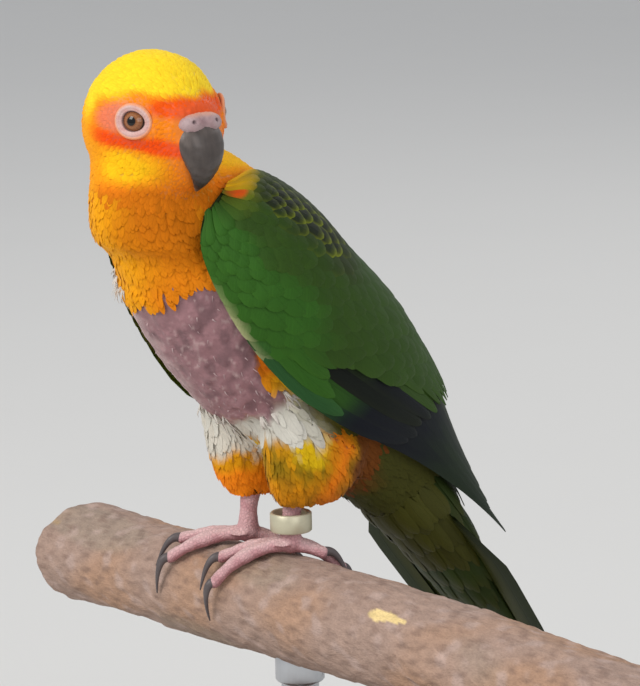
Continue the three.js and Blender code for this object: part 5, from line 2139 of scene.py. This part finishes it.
def build_stand():
    bark = mottled_finish("bark", None, 520.0, 0.62, 0.85, 0.6, (0.5, 1, 1), 1.0)[0]
    steel = metal_finish("rod_brushed_steel", STEEL, 0.3, (1, 1, 0.02), 1.0)
    dressed(make_perch(), "bark", bark, "perch")
    dressed(spun("base_disc", BASE_PROFILE, 160), "base_wood", wood_finish(), "stand_base")
    dressed(spun("rod_steel", ROD_PROFILE, 64), "rod_steel", steel, "stand_rod")


# Floor, light and camera

FLOOR_RADIUS = 9


def build_floor():
    bm = bmesh.new()
    bmesh.ops.create_circle(bm, cap_ends=True, radius=FLOOR_RADIUS, segments=96)
    floor = smooth_object("studio_floor", bm)
    finish, tree, shader = new_finish("pale_floor", 0.9, 0.2)
    grain = placed_group(tree, MOTTLE, Scale=3.0, Contrast=0.015)
    tint(tree, shader, FLOOR_PALE, grain.outputs["Shade"])
    wear(finish, floor)


# Each soft box: name, place in metres, size, power and colour; all aim at the bird
SOFTBOXES = (
    ("key", (-0.1, -1.25, 1.15), (0.8, 0.8), 15.5, (1, 0.98, 0.95)),
    ("side", (1.35, -0.35, 0.7), (0.7, 0.9), 5, (0.97, 0.98, 1)),
    ("rim", (-0.3, 1.3, 1.1), (0.8, 0.5), 4, (1, 0.99, 0.97)),
)
LIGHT_AIM = (-0.01, 0.01, 0.15)
SKY_COLOUR = (0.86, 0.88, 0.92, 1)
SKY_STRENGTH = 0.62


def add_softbox(name, place, size, power, colour):
    light = bpy.data.lights.new(name, "AREA")
    light.shape = "RECTANGLE"
    light.size = size[0]
    light.size_y = size[1]
    light.energy = power
    light.color = colour
    made = bpy.data.objects.new(name, light)
    made.location = place
    made.rotation_euler = (Vector(LIGHT_AIM) - Vector(place)).to_track_quat("-Z", "Y").to_euler()
    bpy.context.scene.collection.objects.link(made)


def build_light():
    world = bpy.data.worlds.new("studio")
    world.use_nodes = True
    sky = world.node_tree.nodes["Background"]
    sky.inputs["Color"].default_value = SKY_COLOUR
    sky.inputs["Strength"].default_value = SKY_STRENGTH
    bpy.context.scene.world = world
    for box in SOFTBOXES:
        add_softbox(*box)


# The photograph's view: the camera's heading and height in degrees, its lean, and its lens in pixels
VIEW_HEADING = math.radians(50)
VIEW_HEIGHT = math.radians(10.4)
VIEW_LEAN = math.radians(1.4)
PICTURE = (640, 686)
LENS_PIXELS = 3600
ANCHOR = Vector((-12, 0, 105))
ANCHOR_PIXEL = (265, 549)
ANCHOR_AWAY = 863
SENSOR = 36


def build_camera():
    cos_height = math.cos(VIEW_HEIGHT)
    sin_heading = math.sin(VIEW_HEADING)
    cos_heading = math.cos(VIEW_HEADING)
    ahead = Vector((-sin_heading * cos_height, cos_heading * cos_height, -math.sin(VIEW_HEIGHT)))
    right = Vector((cos_heading, sin_heading, 0))
    up = right.cross(ahead)
    leaned_right = right * math.cos(VIEW_LEAN) - up * math.sin(VIEW_LEAN)
    leaned_up = right * math.sin(VIEW_LEAN) + up * math.cos(VIEW_LEAN)
    across = (ANCHOR_PIXEL[0] - PICTURE[0] / 2) / LENS_PIXELS
    upward = -(ANCHOR_PIXEL[1] - PICTURE[1] / 2) / LENS_PIXELS
    place = ANCHOR - (ahead + leaned_right * across + leaned_up * upward) * ANCHOR_AWAY
    camera = bpy.data.cameras.new("camera")
    camera.sensor_width = SENSOR
    camera.lens = LENS_PIXELS * SENSOR / max(PICTURE)
    camera.clip_start = 0.01
    made = bpy.data.objects.new("camera", camera)
    turn = Matrix((leaned_right, leaned_up, -ahead)).transposed()
    made.matrix_world = Matrix.Translation(place * MM) @ turn.to_4x4()
    bpy.context.scene.collection.objects.link(made)
    bpy.context.scene.camera = made


bpy.context.scene.view_settings.view_transform = "Standard"
build_camera()
build_light()
build_floor()
build_stand()
build_bird()
